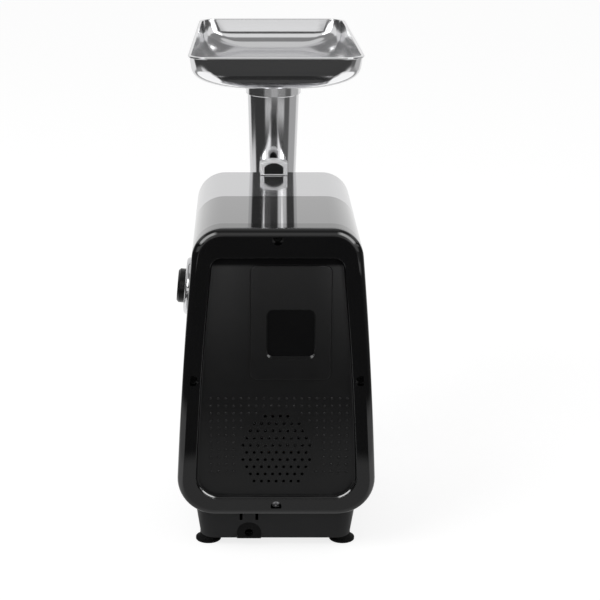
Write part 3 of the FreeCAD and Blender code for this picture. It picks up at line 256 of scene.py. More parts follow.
# Matt paper that takes shadows, part of it glowing to the eye, with the cards in what polished pieces mirror
def makeFloor():
    half = studio["floorHalf"]
    mesh = bpy.data.meshes.new("floor")
    corners = [(-half, -half, 0), (half, -half, 0), (half, half, 0), (-half, half, 0)]
    mesh.from_pydata(corners, [], [(0, 1, 2, 3)])
    floor = bpy.data.objects.new("floor", mesh)
    floor.location.z = -studio["floorDrop"]
    bpy.context.scene.collection.objects.link(floor)
    material = bpy.data.materials.new("floorPaper")
    material.use_nodes = True
    tree = material.node_tree
    tree.nodes.clear()
    path = tree.nodes.new("ShaderNodeLightPath").outputs
    paper = tree.nodes.new("ShaderNodeBsdfDiffuse")
    paper.inputs["Color"].default_value = (*[studio["paperWhite"]] * 3, 1)
    white = tree.nodes.new("ShaderNodeEmission")
    white.inputs["Strength"].default_value = studio["paperGlow"]
    cards = tree.nodes.new("ShaderNodeEmission")
    tree.links.new(addPaperPattern(tree), cards.inputs["Strength"])
    share = addMath(tree, "MULTIPLY", path["Is Camera Ray"], studio["paperShare"])
    surface = addMixShader(tree, share, paper.outputs[0], white.outputs[0])
    surface = addMixShader(tree, path["Is Glossy Ray"], surface, cards.outputs[0])
    output = tree.nodes.new("ShaderNodeOutputMaterial")
    tree.links.new(surface, output.inputs["Surface"])
    floor.data.materials.append(material)


# Soft light whose face is turned to the aim, and which polished pieces don't mirror
def makeLamp(name, place, power):
    data = bpy.data.lights.new(name, "AREA")
    data.shape = "RECTANGLE"
    data.size, data.size_y = studio["lampSize"]
    data.energy = power
    lamp = bpy.data.objects.new(name, data)
    lamp.location = place
    lamp.visible_glossy = False
    away = np.array(studio["lampAim"]) - np.array(place)
    flat = math.hypot(away[0], away[1])
    lamp.rotation_euler = (math.atan2(flat, -away[2]), 0, math.atan2(away[1], away[0]) - math.pi / 2)
    bpy.context.scene.collection.objects.link(lamp)


# Finishes, one row for each material of the machine

plain = dict(toneScale=40, toneDetail=4, roughScale=60, roughDetail=3, grain=800, grainDetail=2,
             grainDepth=0.02, metal=0.0, specular=0.4, stretch=(1, 1, 1), coat=0.0, coatRough=0.03)

finishes = {
    "cover_black": dict(light=(0.0050, 0.0050, 0.0053), dark=(0.0033, 0.0033, 0.0035),
                        rough=(0.32, 0.40), grain=900, grainDepth=0.012, specular=0.38, coatRough=0.02),
    "shell_black": dict(light=(0.008, 0.008, 0.008), dark=(0.005, 0.005, 0.0055), toneScale=12,
                        rough=(0.02, 0.05), roughScale=20, grain=200, grainDepth=0.002, specular=0.6,
                        coat=1.0, coatRough=0.015),
    "shell_silver": dict(light=(0.66, 0.66, 0.67), dark=(0.60, 0.60, 0.61), toneScale=1400,
                         rough=(0.06, 0.10), roughScale=30, grain=1500, grainDepth=0.003, metal=0.95,
                         specular=0.5, coat=0.3),
    "base_black": dict(light=(0.013, 0.013, 0.0135), dark=(0.008, 0.008, 0.0085), rough=(0.42, 0.55),
                       roughScale=80, grainDepth=0.03, specular=0.30),
    "rubber_black": dict(light=(0.005, 0.005, 0.005), dark=(0.003, 0.003, 0.003), toneScale=60,
                         rough=(0.6, 0.8), roughScale=90, grain=500, grainDepth=0.03, specular=0.12),
    "knob_black": dict(light=(0.006, 0.006, 0.0065), dark=(0.004, 0.004, 0.0043), toneScale=50,
                       rough=(0.25, 0.35), roughScale=90, grain=900, grainDepth=0.012, specular=0.3),
    # The lock trim is near white and mostly matt: partly its own silver, partly a painted highlight of a
    # polished band
    "trim_chrome": dict(light=(0.92, 0.92, 0.93), dark=(0.86, 0.86, 0.87), toneScale=60, rough=(0.25, 0.35),
                        roughScale=90, grain=400, grainDepth=0.003, metal=0.15),
    "head_metal": dict(light=(0.74, 0.74, 0.75), dark=(0.68, 0.68, 0.69), toneScale=14, rough=(0.07, 0.14),
                       roughScale=18, grain=260, grainDepth=0.004, metal=1.0, stretch=(1, 1, 0.15)),
    "tray_steel": dict(light=(0.86, 0.86, 0.87), dark=(0.80, 0.80, 0.81), toneScale=10, rough=(0.08, 0.15),
                       roughScale=14, grain=500, grainDepth=0.004, metal=1.0, stretch=(0.1, 1, 1)),
    "cutter_steel": dict(light=(0.70, 0.70, 0.71), dark=(0.60, 0.60, 0.61), toneScale=50, rough=(0.18, 0.30),
                         roughScale=80, grain=700, grainDepth=0.01, metal=1.0, stretch=(1, 0.1, 1)),
    "screw_steel": dict(light=(0.58, 0.58, 0.59), dark=(0.46, 0.46, 0.47), toneScale=200, rough=(0.22, 0.36),
                        roughScale=200, grain=900, grainDepth=0.01, metal=1.0),
    "shaft_steel": dict(light=(0.60, 0.60, 0.61), dark=(0.50, 0.50, 0.51), toneScale=90, rough=(0.15, 0.28),
                        roughScale=90, grain=900, grainDepth=0.008, metal=1.0, stretch=(1, 0.1, 1)),
    "gear_nylon": dict(light=(0.72, 0.70, 0.64), dark=(0.64, 0.62, 0.56), toneScale=30, rough=(0.40, 0.55),
                       grain=500, specular=0.45),
    "plate_aluminium": dict(light=(0.66, 0.66, 0.67), dark=(0.56, 0.56, 0.57), rough=(0.32, 0.45),
                            roughScale=50, grain=500, metal=1.0, stretch=(1, 1, 0.1)),
    "core_iron": dict(light=(0.20, 0.20, 0.21), dark=(0.12, 0.12, 0.125), toneScale=60, rough=(0.40, 0.55),
                      grain=1200, grainDepth=0.03, metal=1.0, stretch=(0.05, 1, 0.05)),
    "winding_copper": dict(light=(0.62, 0.27, 0.12), dark=(0.42, 0.16, 0.07), toneScale=300,
                           rough=(0.25, 0.38), roughScale=200, grain=900, grainDepth=0.06, metal=1.0,
                           stretch=(1, 0.05, 1)),
    "bush_bronze": dict(light=(0.52, 0.38, 0.20), dark=(0.40, 0.28, 0.14), toneScale=120, rough=(0.30, 0.45),
                        roughScale=150, grain=900, metal=1.0),
    "inner_plastic": dict(light=(0.05, 0.05, 0.052), dark=(0.035, 0.035, 0.036), toneScale=50,
                          rough=(0.45, 0.6), grain=600),
}


# Two tones and a span of roughness, both in soft noise, over a fine grain in millimetres
def makeFinish(name, own):
    look = {**plain, **own}
    material = bpy.data.materials.new(name)
    material.use_nodes = True
    tree = material.node_tree
    shader = tree.nodes["Principled BSDF"]
    shader.inputs["Metallic"].default_value = look["metal"]
    shader.inputs["Specular IOR Level"].default_value = look["specular"]
    shader.inputs["Coat Weight"].default_value = look["coat"]
    shader.inputs["Coat Roughness"].default_value = look["coatRough"]
    mapping = tree.nodes.new("ShaderNodeMapping")
    mapping.inputs["Scale"].default_value = look["stretch"]
    tree.links.new(tree.nodes.new("ShaderNodeTexCoord").outputs["Object"], mapping.inputs["Vector"])

    def noise(scale, detail):
        node = tree.nodes.new("ShaderNodeTexNoise")
        node.inputs["Scale"].default_value = look[scale]
        node.inputs["Detail"].default_value = look[detail]
        tree.links.new(mapping.outputs["Vector"], node.inputs["Vector"])
        return node.outputs["Fac"]

    tone = tree.nodes.new("ShaderNodeMix")
    tone.data_type = "RGBA"
    tone.inputs["A"].default_value = (*look["dark"], 1)
    tone.inputs["B"].default_value = (*look["light"], 1)
    tree.links.new(noise("toneScale", "toneDetail"), tone.inputs["Factor"])
    tree.links.new(tone.outputs["Result"], shader.inputs["Base Color"])
    spread = addStep(tree, noise("roughScale", "roughDetail"), 0.0, 1.0, *look["rough"])
    tree.links.new(spread, shader.inputs["Roughness"])
    bump = tree.nodes.new("ShaderNodeBump")
    bump.inputs["Distance"].default_value = look["grainDepth"] * mm
    tree.links.new(noise("grain", "grainDetail"), bump.inputs["Height"])
    tree.links.new(bump.outputs["Normal"], shader.inputs["Normal"])
    return material


# Rear cover: a polished rim round a satin panel. Outlines are in mm, with half widths at both ends and sides
# that bow out between them

coverOutline = dict(bottom=38.0, top=302.0, halfBottom=89.0, halfTop=70.5, bow=2.0,
                    cornerBottom=34.0, cornerTop=27.0)
panelOutline = dict(bottom=54.5, top=276.5, halfBottom=71.34, halfTop=55.79, bow=2.0,
                    cornerBottom=21.0, cornerTop=9.0)

coverGloss = {
    "edge": 0.6,               # mm, half of the soft step from rim to panel
    "rimRough": 0.05,
    "rimSpecular": 0.10,
    "rimCoat": 1.0,
    "label": (-11.7, 208.0, 20.2, 21.7),   # middle and half sizes of the matt field
    "labelCorner": 5.0,
    "labelEdge": 0.5,          # the same from panel to field
    "labelSpecular": 0.06,
    "shade": (267.5, 271.0),   # painted shade: the panel's top edge is kept dark under the rim
    "shadeSpecular": 0.02,
    "dome": (-8.0, 150.0),     # the panel is a flat dome: its crown, and its slopes at the side and top edges
    "domeSlope": (0.07, 0.10),
    "domeCorner": (20.0, 60.0, 1.0),   # how far aside it starts and ends to steepen, and by what share
}


# How far a point lies inside a box with round corners, all in numbers or signals along x and z
def addInside(tree, x, z, halfWide, halfTall, corner):
    beyondX = addMath(tree, "ADD", addMath(tree, "SUBTRACT", addMath(tree, "ABSOLUTE", x), halfWide), corner)
    beyondZ = addMath(tree, "ADD", addMath(tree, "SUBTRACT", addMath(tree, "ABSOLUTE", z), halfTall), corner)
    within = addMath(tree, "MINIMUM", addMath(tree, "MAXIMUM", beyondX, beyondZ), 0.0)
    away = addLength(tree, *[addMath(tree, "MAXIMUM", way, 0.0) for way in (beyondX, beyondZ)])
    return addMath(tree, "SUBTRACT", addMath(tree, "SUBTRACT", corner, away), within)


# Inside the panel, whose half width grows downwards with a bow, the finish is satin, and matt in the label's
# field. The dome falls off with the square of the way from its crown
def polishRim(material):
    tree = material.node_tree
    shader = tree.nodes["Principled BSDF"]
    x, z = addPlace(tree)[::2]
    panel = {name: size * mm for name, size in panelOutline.items()}
    bottom, top = panel["bottom"], panel["top"]

    def alongHeight(name):
        node = tree.nodes.new("ShaderNodeMapRange")
        for socket, number in zip(("From Min", "From Max", "To Min", "To Max"),
                                  (bottom, top, panel[name + "Bottom"], panel[name + "Top"])):
            node.inputs[socket].default_value = number
        tree.links.new(z, node.inputs["Value"])
        return node.outputs["Result"]

    tall = (top - bottom) / 2
    level = addMath(tree, "SUBTRACT", z, (bottom + top) / 2)
    away = addMath(tree, "POWER", addMath(tree, "DIVIDE", level, tall), 2.0)
    bow = addMath(tree, "MULTIPLY", addMath(tree, "SUBTRACT", 1.0, away), panel["bow"])
    halfWide = addMath(tree, "ADD", alongHeight("half"), bow)
    inside = addInside(tree, x, level, halfWide, tall, alongHeight("corner"))
    edge = coverGloss["edge"] * mm
    satin = addStep(tree, inside, -edge, edge)
    before = shader.inputs["Roughness"].links[0].from_socket
    tree.links.new(addBlend(tree, satin, coverGloss["rimRough"], before), shader.inputs["Roughness"])
    tree.links.new(addBlend(tree, satin, coverGloss["rimCoat"], 0.0), shader.inputs["Coat Weight"])
    middleX, middleZ, halfWide, halfTall = [size * mm for size in coverGloss["label"]]
    inside = addInside(tree, addMath(tree, "SUBTRACT", x, middleX), addMath(tree, "SUBTRACT", z, middleZ),
                       halfWide, halfTall, coverGloss["labelCorner"] * mm)
    label = addStep(tree, inside, -coverGloss["labelEdge"] * mm, coverGloss["labelEdge"] * mm)
    # Painted shade: the specular level falls to almost nothing along the panel's top edge, for the shadow
    # under the rim
    first, second = [height * mm for height in coverGloss["shade"]]
    panelGloss = shader.inputs["Specular IOR Level"].default_value
    panelGloss = addBlend(tree, addStep(tree, z, first, second), panelGloss, coverGloss["shadeSpecular"])
    gloss = addBlend(tree, satin, coverGloss["rimSpecular"], panelGloss)
    gloss = addBlend(tree, label, gloss, coverGloss["labelSpecular"])
    tree.links.new(gloss, shader.inputs["Specular IOR Level"])
    asideX, asideZ = [addMath(tree, "SUBTRACT", way, crown * mm)
                      for way, crown in zip((x, z), coverGloss["dome"])]
    fallX, fallZ = [addMath(tree, "MULTIPLY", addMath(tree, "POWER", aside, 2.0), slope / (2 * reach))
                    for aside, slope, reach in zip((asideX, asideZ), coverGloss["domeSlope"],
                                                   (panel["halfTop"], tall))]
    first, second, more = coverGloss["domeCorner"]
    steeper = addStep(tree, addMath(tree, "ABSOLUTE", asideX), first * mm, second * mm, 1.0, 1.0 + more)
    fall = addMath(tree, "ADD", fallX, addMath(tree, "MULTIPLY", fallZ, steeper))
    fall = addMath(tree, "MULTIPLY", fall, satin)
    bump = tree.nodes.new("ShaderNodeBump")
    bump.invert = True
    bump.inputs["Distance"].default_value = 1.0   # the fall is in metres already
    tree.links.new(fall, bump.inputs["Height"])
    tree.links.new(shader.inputs["Normal"].links[0].from_socket, bump.inputs["Normal"])
    tree.links.new(bump.outputs["Normal"], shader.inputs["Normal"])


# Cover screws: dark above a height, and the lowest in the steel's own tone

screwTones = {
    "brightBelow": (70.0, 80.0),   # mm, the heights between which the tone turns dark
    "black": 0.02,
}


# Goes from the steel's own tone to black with the height
def darkenUpperScrews(material):
    tree = material.node_tree
    shader = tree.nodes["Principled BSDF"]
    z = addPlace(tree)[2]
    first, second = [height * mm for height in screwTones["brightBelow"]]
    tone = tree.nodes.new("ShaderNodeMix")
    tone.data_type = "RGBA"
    tree.links.new(addStep(tree, z, first, second), tone.inputs["Factor"])
    tree.links.new(shader.inputs["Base Color"].links[0].from_socket, tone.inputs["A"])
    tone.inputs["B"].default_value = (*[screwTones["black"]] * 3, 1)
    tree.links.new(tone.outputs["Result"], shader.inputs["Base Color"])


# Surfaces are grids of points: rows along one way, columns round the other

meshSetup = {
    "merge": 1e-7,            # metres between points that become one
    "sliver": 1e-8,           # and the length of an edge that is dissolved
    "sharp": 32.0,            # degrees between faces, past which an edge is shaded sharp
}


# Four neighbours of the grid make a face. Columns always close; rows join the last to the first where asked
def gridPiece(name, grid, body, slot, closeRows=True, sharp=meshSetup["sharp"], sheet=False):
    rows, columns = grid.shape[:2]
    row = np.arange(rows if closeRows else rows - 1)[:, None]
    column = np.arange(columns)[None, :]
    nextRow, nextColumn = (row + 1) % rows, (column + 1) % columns
    corners = [row * columns + column, row * columns + nextColumn,
               nextRow * columns + nextColumn, nextRow * columns + column]
    faces = np.stack(corners, axis=-1).reshape(-1, 4)
    return meshPiece(name, grid.reshape(-1, 3), faces.tolist(), body, slot, sharp, sheet)


# Joins points that fall together and shades all but the sharp edges smooth. Faces are turned outward, and
# those of an open sheet on the rear cover to the rear
def meshPiece(name, points, faces, body, slot, sharp, sheet):
    mesh = bpy.data.meshes.new(name)
    mesh.from_pydata((points * mm).tolist(), [], faces)
    work = bmesh.new()
    work.from_mesh(mesh)
    bmesh.ops.remove_doubles(work, verts=work.verts, dist=meshSetup["merge"])
    bmesh.ops.dissolve_degenerate(work, edges=work.edges, dist=meshSetup["sliver"])
    work.normal_update()
    if not sheet:
        bmesh.ops.recalc_face_normals(work, faces=work.faces)
    elif sum(face.calc_area() * face.normal.y for face in work.faces) < 0:
        bmesh.ops.reverse_faces(work, faces=work.faces)
    work.to_mesh(mesh)
    work.free()
    mesh.shade_smooth()
    mesh.set_sharp_from_angle(angle=math.radians(sharp))
    mesh.materials.append(materials[slot])
    piece = bpy.data.objects.new(name, mesh)
    bpy.context.scene.collection.objects.link(piece)
    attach(piece, body)
    return piece


# Corner arcs of a line of points: each is tangent to both sides, with its own radius and even steps of turn
def cornerArcs(before, here, after, radius, steps):
    back = (before - here) / np.linalg.norm(before - here, axis=1, keepdims=True)
    ahead = (after - here) / np.linalg.norm(after - here, axis=1, keepdims=True)
    half = 0.5 * np.arccos(np.clip((back * ahead).sum(axis=1), -1, 1))
    middle = (back + ahead) / np.linalg.norm(back + ahead, axis=1, keepdims=True)
    centre = here + middle * (radius / np.sin(half))[:, None]
    first = here + back * (radius / np.tan(half))[:, None] - centre
    last = here + ahead * (radius / np.tan(half))[:, None] - centre
    start = np.arctan2(first[:, 1], first[:, 0])
    turn = np.arctan2(last[:, 1], last[:, 0]) - start
    turn = (turn + np.pi) % (2 * np.pi) - np.pi
    angle = start[:, None] + turn[:, None] * np.linspace(0, 1, steps + 1)[None, :]
    return centre[:, None, :] + radius[:, None, None] * np.stack([np.cos(angle), np.sin(angle)], axis=-1)


# Closed loop with rounded corners, of one radius or one each, and evenly divided straight sides
def roundedLoop(corners, radius, arcSteps, sideSteps):
    here = np.asarray(corners, float)
    arcs = cornerArcs(np.roll(here, 1, axis=0), here, np.roll(here, -1, axis=0),
                      np.broadcast_to(np.asarray(radius, float), len(here)), arcSteps)
    share = np.linspace(0, 1, sideSteps + 1)[1:-1]
    ends, starts = arcs[:, -1:, :], np.roll(arcs[:, :1, :], -1, axis=0)
    sides = ends + (starts - ends) * share[None, :, None]
    return np.concatenate([arcs, sides], axis=1).reshape(-1, 2)


# Open line whose inner corners are rounded, each with its own radius
def roundedLine(points, radii, steps):
    points = np.asarray(points, float)
    arcs = cornerArcs(points[:-2], points[1:-1], points[2:], np.asarray(radii, float), steps)
    return np.concatenate([points[:1], arcs.reshape(-1, 2), points[-1:]])


# Tray: a drawn steel pan with a rolled lip, a hole over the feed tube and a collar round it

traySetup = {
    "frontNarrower": 5.0,     # mm on each side
    "corner": 18.0,           # at the lip, and the same at the floor
    "floorCorner": 58.0,
    "leastCorner": 6.0,
    "cornerSwell": 2.6,       # how late, from lip to floor, the one turns into the other
    "lip": 1.5,
    "lipHeight": 2.0,
    "lipRound": 0.7,
    "lipFootRound": 0.7 / 3,  # where the lip meets the wall
    "draft": 3.0,
    "floorRound": 21.0,
    "flatStart": 1.2,         # share of that round after which the floor is flat
    "edgeRound": 0.5,         # at the hole, the flange and the collar
    "sheet": 1.5,
    "mouth": 21.0,
    "bore": 25.1,
    "collarWall": 1.5,
    "collarDrop": 26.0,
    "flange": 28.4,
    "flangeHeight": 4.0,
    "arcSteps": 18,
    "sideSteps": 14,
    "floorSteps": 10,
    "roundSteps": 12,
}


# A row of the pan is the rounded outline drawn in by an inset; near the hole it turns into a circle
def trayGrid(tray):
    low, high = [np.array(corner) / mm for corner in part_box("tray")]
    rimTop, seat = high[2], low[2] + tray["collarDrop"]
    floor = seat + tray["sheet"]

    # The corners' radius grows from lip to floor with a power of the depth
    def outline(inset, height):
        rearHalf, frontHalf = high[0] - inset, high[0] - tray["frontNarrower"] - inset
        corners = [(rearHalf, high[1] - inset), (-rearHalf, high[1] - inset),
                   (-frontHalf, low[1] + inset), (frontHalf, low[1] + inset)]
        share = np.clip((rimTop - height) / (rimTop - floor), 0, 1) ** tray["cornerSwell"]
        radius = tray["corner"] + (tray["floorCorner"] - tray["corner"]) * share - inset
        return roundedLoop(corners, max(radius, tray["leastCorner"]), tray["arcSteps"], tray["sideSteps"])

    def level(loop, height):
        return np.column_stack([loop, np.full(len(loop), height)])

    centre = np.array([0.0, tubeAxis / mm])
    aside = outline(tray["lip"], floor) - centre
    aside /= np.linalg.norm(aside, axis=1, keepdims=True)

    def ring(radius, height):
        return level(centre + radius * aside, height)

    # Even steps from one row to another
    def sheetRows(first, last):
        share = np.linspace(0, 1, tray["floorSteps"] + 1)[1:-1, None, None]
        return list(first[None] + (last - first)[None] * share)

    wallTop, wallFoot = tray["lip"] + tray["sheet"], tray["lip"] + tray["sheet"] + tray["draft"]
    flatStart = wallFoot + tray["flatStart"] * tray["floorRound"]
    under = rimTop - tray["lipHeight"]
    soft = tray["lipRound"]
    line = [(flatStart, floor), (wallFoot, floor), (wallTop, rimTop), (0.0, rimTop), (0.0, under),
            (tray["lip"], under), (tray["lip"] + tray["draft"], seat), (flatStart, seat)]
    radii = [tray["floorRound"] - tray["sheet"], soft, soft, soft, tray["lipFootRound"], tray["floorRound"]]
    profile = roundedLine(line, radii, tray["roundSteps"])
    pan = [level(outline(inset, height), height) for inset, height in profile]
    collar, flangeFoot = tray["bore"] + tray["collarWall"], seat - tray["flangeHeight"]
    soft = tray["edgeRound"]
    mouth = [ring(tray["mouth"], seat), ring(tray["mouth"], floor - soft), ring(tray["mouth"] + soft, floor)]
    stem = [ring(tray["flange"], seat), ring(tray["flange"], flangeFoot + soft),
            ring(tray["flange"] - soft, flangeFoot), ring(collar, flangeFoot),
            ring(collar, low[2] + soft), ring(collar - soft, low[2]),
            ring(tray["bore"], low[2]), ring(tray["bore"], seat)]
    rows = mouth + sheetRows(mouth[-1], pan[0]) + pan + sheetRows(pan[-1], stem[0]) + stem
    return np.stack(rows)


def makeTray(setup):
    piece = gridPiece("trayPan", trayGrid(setup), "tray", "tray_steel")
    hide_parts("tray")


# Lock: an upright tab with a low arched top in a bright band

lockSetup = {
    "tab": (8.9, 7.4, 11.6),        # mm: half width, and heights of shoulder and crown over the shell
    "tabRound": 1.0,
    "tabBehindBand": 0.8,
    "bandOuter": (13.0, 11.8, 14.6),
    "bandInner": (9.0, 7.5, 11.7),
    "bandFoot": (0.2, 1.2),         # over the shell, outside and inside
    "bandRound": 1.2,
    "archSteps": 28,
    "sideSteps": 6,
    "roundSteps": 6,
    "wallSteps": 2,
}


# Outline of the tab: straight sides, a level foot, and an arch that is part of a circle
def archLoop(half, foot, shoulder, crown, setup):
    radius = (half ** 2 + (crown - shoulder) ** 2) / (2 * (crown - shoulder))
    turn = np.linspace(-1, 1, setup["archSteps"] + 1) * np.arcsin(half / radius)
    arc = np.column_stack([radius * np.sin(turn), crown - radius + radius * np.cos(turn)])
    share = np.linspace(0, 1, setup["sideSteps"] + 1)[1:, None]
    right, left = np.array([half, foot]), np.array([-half, foot])
    down = arc[-1] + (right - arc[-1]) * share
    along = right + (left - right) * share
    up = left + (arc[0] - left) * share
    return np.concatenate([arc, down, along, up[:-1]])


# Stands a flat outline up: its second way becomes the height, at one depth
def upright(loop, depth):
    return np.column_stack([loop[:, 0], np.full(len(loop), depth), loop[:, 1]])


# The tab is one outline drawn in along its rounded edges. The band blends from an outer outline to an inner
# one, round a section with rounded corners
def makeLock(setup):
    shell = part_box("front_shell")[1][2] / mm
    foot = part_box("lock_button")[0][2] / mm
    low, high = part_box("lock_trim")
    front, back = low[1] / mm, high[1] / mm
    half, shoulder, crown = setup["tab"]
    soft, sunk = setup["tabRound"], setup["tabBehindBand"]
    edge = roundedLine([(half, front + sunk), (0, front + sunk), (0, back - sunk), (half, back - sunk)],
                       [soft, soft], setup["roundSteps"])
    loops = [archLoop(half - inset, foot + inset, shell + shoulder - inset, shell + crown - inset, setup)
             for inset in edge[1:-1, 0]]
    rows = [upright(loop, depth) for loop, depth in zip(loops, edge[1:-1, 1])]
    ends = [np.zeros_like(row) + row.mean(axis=0) for row in (rows[0], rows[-1])]
    tab = gridPiece("lockTab", np.stack(ends[:1] + rows + ends[1:]), "lock", "knob_black", closeRows=False)
    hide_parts("lock_button")
    outer, inner = [archLoop(size[0], shell + bandFoot, shell + size[1], shell + size[2], setup)
                    for size, bandFoot in zip((setup["bandOuter"], setup["bandInner"]), setup["bandFoot"])]
    wall = setup["bandOuter"][0] - setup["bandInner"][0]
    section = roundedLoop([(wall, front), (0, front), (0, back), (wall, back)], setup["bandRound"],
                          setup["roundSteps"], setup["wallSteps"])
    rows = [upright(outer + (inner - outer) * inset / wall, depth) for inset, depth in section]
    band = gridPiece("lockBand", np.stack(rows), "lock", "trim_chrome")
    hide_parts("lock_trim")


# Spring under the lock: a coil from the pin's collar to the plate above it, which the lifted lock squeezes

springSetup = {
    "wire": 0.7,              # mm
    "turns": 5.0,
    "lift": 5.0,              # the lock's travel
    "turnSteps": 36,
    "sides": 10,
    "sharp": 60.0,            # degrees
}


# A round section carried along a helix that rises evenly, with both ends drawn to a point
def makeSpring(setup):
    low, high = [np.array(corner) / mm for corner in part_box("lock_spring")]
    wire, middle = setup["wire"], (low + high) / 2
    radius, tall = (high[0] - low[0]) / 2 - wire, high[2] - low[2]
    share = np.linspace(0, 1, int(setup["turns"] * setup["turnSteps"]) + 1)
    turn = 2 * np.pi * setup["turns"] * share
    outward = np.column_stack([np.cos(turn), np.sin(turn), np.zeros_like(turn)])
    rise = low[2] + wire + (tall - 2 * wire) * share
    path = middle * (1, 1, 0) + radius * outward + rise[:, None] * (0, 0, 1)
    angle = np.arange(setup["sides"]) * 2 * np.pi / setup["sides"]
    rows = path[:, None] + wire * (np.cos(angle)[None, :, None] * outward[:, None]
                                   + np.sin(angle)[None, :, None] * np.array((0, 0, 1)))
    ends = [np.repeat(path[place][None, None], setup["sides"], axis=1) for place in (0, -1)]
    spring = gridPiece("lockSpring", np.concatenate([ends[0], rows, ends[1]]), "housing", "shaft_steel",
                       closeRows=False, sharp=setup["sharp"])
    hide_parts("lock_spring")
    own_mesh(spring)


# Rear cover's edges: the round of its rim, and bevels round the sunk panel and the label's field

edgeSetup = {
    "rimStart": (7.0, 5.9),         # mm in from the side where its flat edge and its round begin
    "rimArcs": ((22.0, 3.0), (34.0, 17.0), (90.0, 3.65)),    # tilt in degrees where an arc ends, and radius
    "rimFoot": 7.0,                 # how far down the side it ends
    "rimUnder": 0.002,              # how far it stays below the cover's rearmost face
    "rimSteps": 8,
    "panelRows": ((-1.2, 0.01), (0.9, 1.45), (1.3, 4.05)),   # inwards from the outline, and down from the rim
    "panelHidden": -0.6,            # inset at which the bevel lies within the cover
    "panelWide": (78.0, 60.0),      # heights where it comes out of the cover and where it is full
    "panelSharp": 25.0,             # degrees
    "labelHalf": (21.0, 22.5),
    "labelCorner": 6.0,
    "labelRows": ((-0.1, 2.38), (2.6, 3.20)),                # the same as for the panel
    "labelSideShare": 0.25,         # how wide it is beside the field, and how late it widens downwards
    "labelTurn": 6,
    "arcSteps": 14,
    "sideSteps": 36,
}


# Outline drawn in by an inset: on the right, corner arcs that are tangent to the circle that bows the side,
# and on the left their mirror image
def bowedLoop(outline, inset, setup):
    bottom, top, low, high = [outline[name] for name in ("bottom", "top", "cornerBottom", "cornerTop")]
    start, end = np.array([outline["halfTop"], top]), np.array([outline["halfBottom"], bottom])
    chord = np.linalg.norm(end - start)
    sideRadius = chord ** 2 / (8 * outline["bow"]) + outline["bow"] / 2
    outward = np.array([top - bottom, outline["halfBottom"] - outline["halfTop"]]) / chord
    centre = (start + end) / 2 + outward * (outline["bow"] - sideRadius)
    corners = []
    for level, radius in ((top - high, high), (bottom + low, low)):
        across = math.sqrt((sideRadius - radius) ** 2 - (level - centre[1]) ** 2)
        corners.append(np.array([centre[0] + across, level]))
    turns = [math.atan2(*(corner - centre)[::-1]) for corner in corners]
    arcs = ((corners[0], high, math.pi / 2, turns[0], setup["arcSteps"]),
            (centre, sideRadius, *turns, setup["sideSteps"]),
            (corners[1], low, turns[1], -math.pi / 2, setup["arcSteps"]))
    points = []
    for middle, radius, first, last, steps in arcs:
        angle = np.linspace(first, last, steps + 1)
        points.append(middle + (radius - inset) * np.column_stack([np.cos(angle), np.sin(angle)]))
    right = np.concatenate([points[0], points[1][1:-1], points[2]])
    return np.concatenate([right, right[::-1] * (-1, 1)])


# Rows of the rim's round go from its flat face to its side over three arcs, each tangent to the one before
def makeRimRound(setup):
    edge, inset = setup["rimStart"]
    depth = setup["rimUnder"]
    profile = [(edge, depth), (inset, depth)]
    start = 0.0
    for end, radius in setup["rimArcs"]:
        turn = np.radians(np.linspace(start, end, setup["rimSteps"] + 1))
        insets = inset - radius * (np.sin(turn) - np.sin(turn[0]))
        depths = depth + radius * (np.cos(turn[0]) - np.cos(turn))
        profile += list(zip(insets[1:], depths[1:]))
        inset, depth, start = insets[-1], depths[-1], end
    profile.append((inset, setup["rimFoot"]))
    rows = [upright(bowedLoop(coverOutline, inset, setup), rearFace / mm - depth)
            for inset, depth in profile]
    gridPiece("rimRound", np.stack(rows), "housing", "cover_black", closeRows=False, sheet=True)


# Rows of the panel's bevel are its outline drawn in; higher up they draw back into the cover by an S curve
def makePanelBevel(setup):
    hidden = bowedLoop(panelOutline, setup["panelHidden"], setup)
    first, second = setup["panelWide"]
    share = np.clip((first - hidden[:, 1:]) / (first - second), 0, 1)
    share = share ** 2 * (3 - 2 * share)
    rows = []
    for inset, depth in setup["panelRows"]:
        shown = bowedLoop(panelOutline, inset, setup)
        rows.append(upright(hidden + (shown - hidden) * share, rearFace / mm - depth))
    gridPiece("panelBevel", np.stack(rows), "housing", "shell_black", closeRows=False,
              sharp=setup["panelSharp"], sheet=True)


# Rows of the label's bevel go from the outer outline inwards by a share that grows as a power of the drop
def makeLabelBevel(setup):
    middleX, middleZ = coverGloss["label"][:2]
    halfWide, halfTall = setup["labelHalf"]
    (firstInset, firstDepth), (lastInset, lastDepth) = setup["labelRows"]

    def outline(inset):
        wide, tall = halfWide - inset, halfTall - inset
        corners = [(middleX - wide, middleZ - tall), (middleX + wide, middleZ - tall),
                   (middleX + wide, middleZ + tall), (middleX - wide, middleZ + tall)]
        return roundedLoop(corners, setup["labelCorner"] - inset, setup["arcSteps"], setup["sideSteps"])

    outer, inner = outline(firstInset), outline(lastInset)
    drop = np.clip((middleZ - outer[:, 1:]) / halfTall, 0, 1) ** setup["labelTurn"]
    share = setup["labelSideShare"] + (1 - setup["labelSideShare"]) * drop
    rows = [upright(outer, rearFace / mm - firstDepth),
            upright(outer + (inner - outer) * share, rearFace / mm - lastDepth)]
    gridPiece("labelBevel", np.stack(rows), "housing", "shell_black", closeRows=False, sheet=True)


# Panel dots: low domes in even rows on the lower panel, but not among the vent holes

dotSetup = {
    "columns": 19,
    "rows": 11,
    "firstX": 57.6,           # mm
    "topZ": 148.6,
    "columnPitch": 6.62,
    "rowPitch": 6.95,
    "radius": 1.3,
    "height": 0.6,
    "panelDepth": 4.0,        # below the rim's face
    "ventCentre": 97.4,
    "ventClear": (37.0, 41.0),     # half sizes of the ellipse that is left free
    "rise": (-25.0, 10.0, 50.0),   # degrees, of each ring of a dot
    "sides": 10,
    "sharp": 180.0,           # all smooth
}


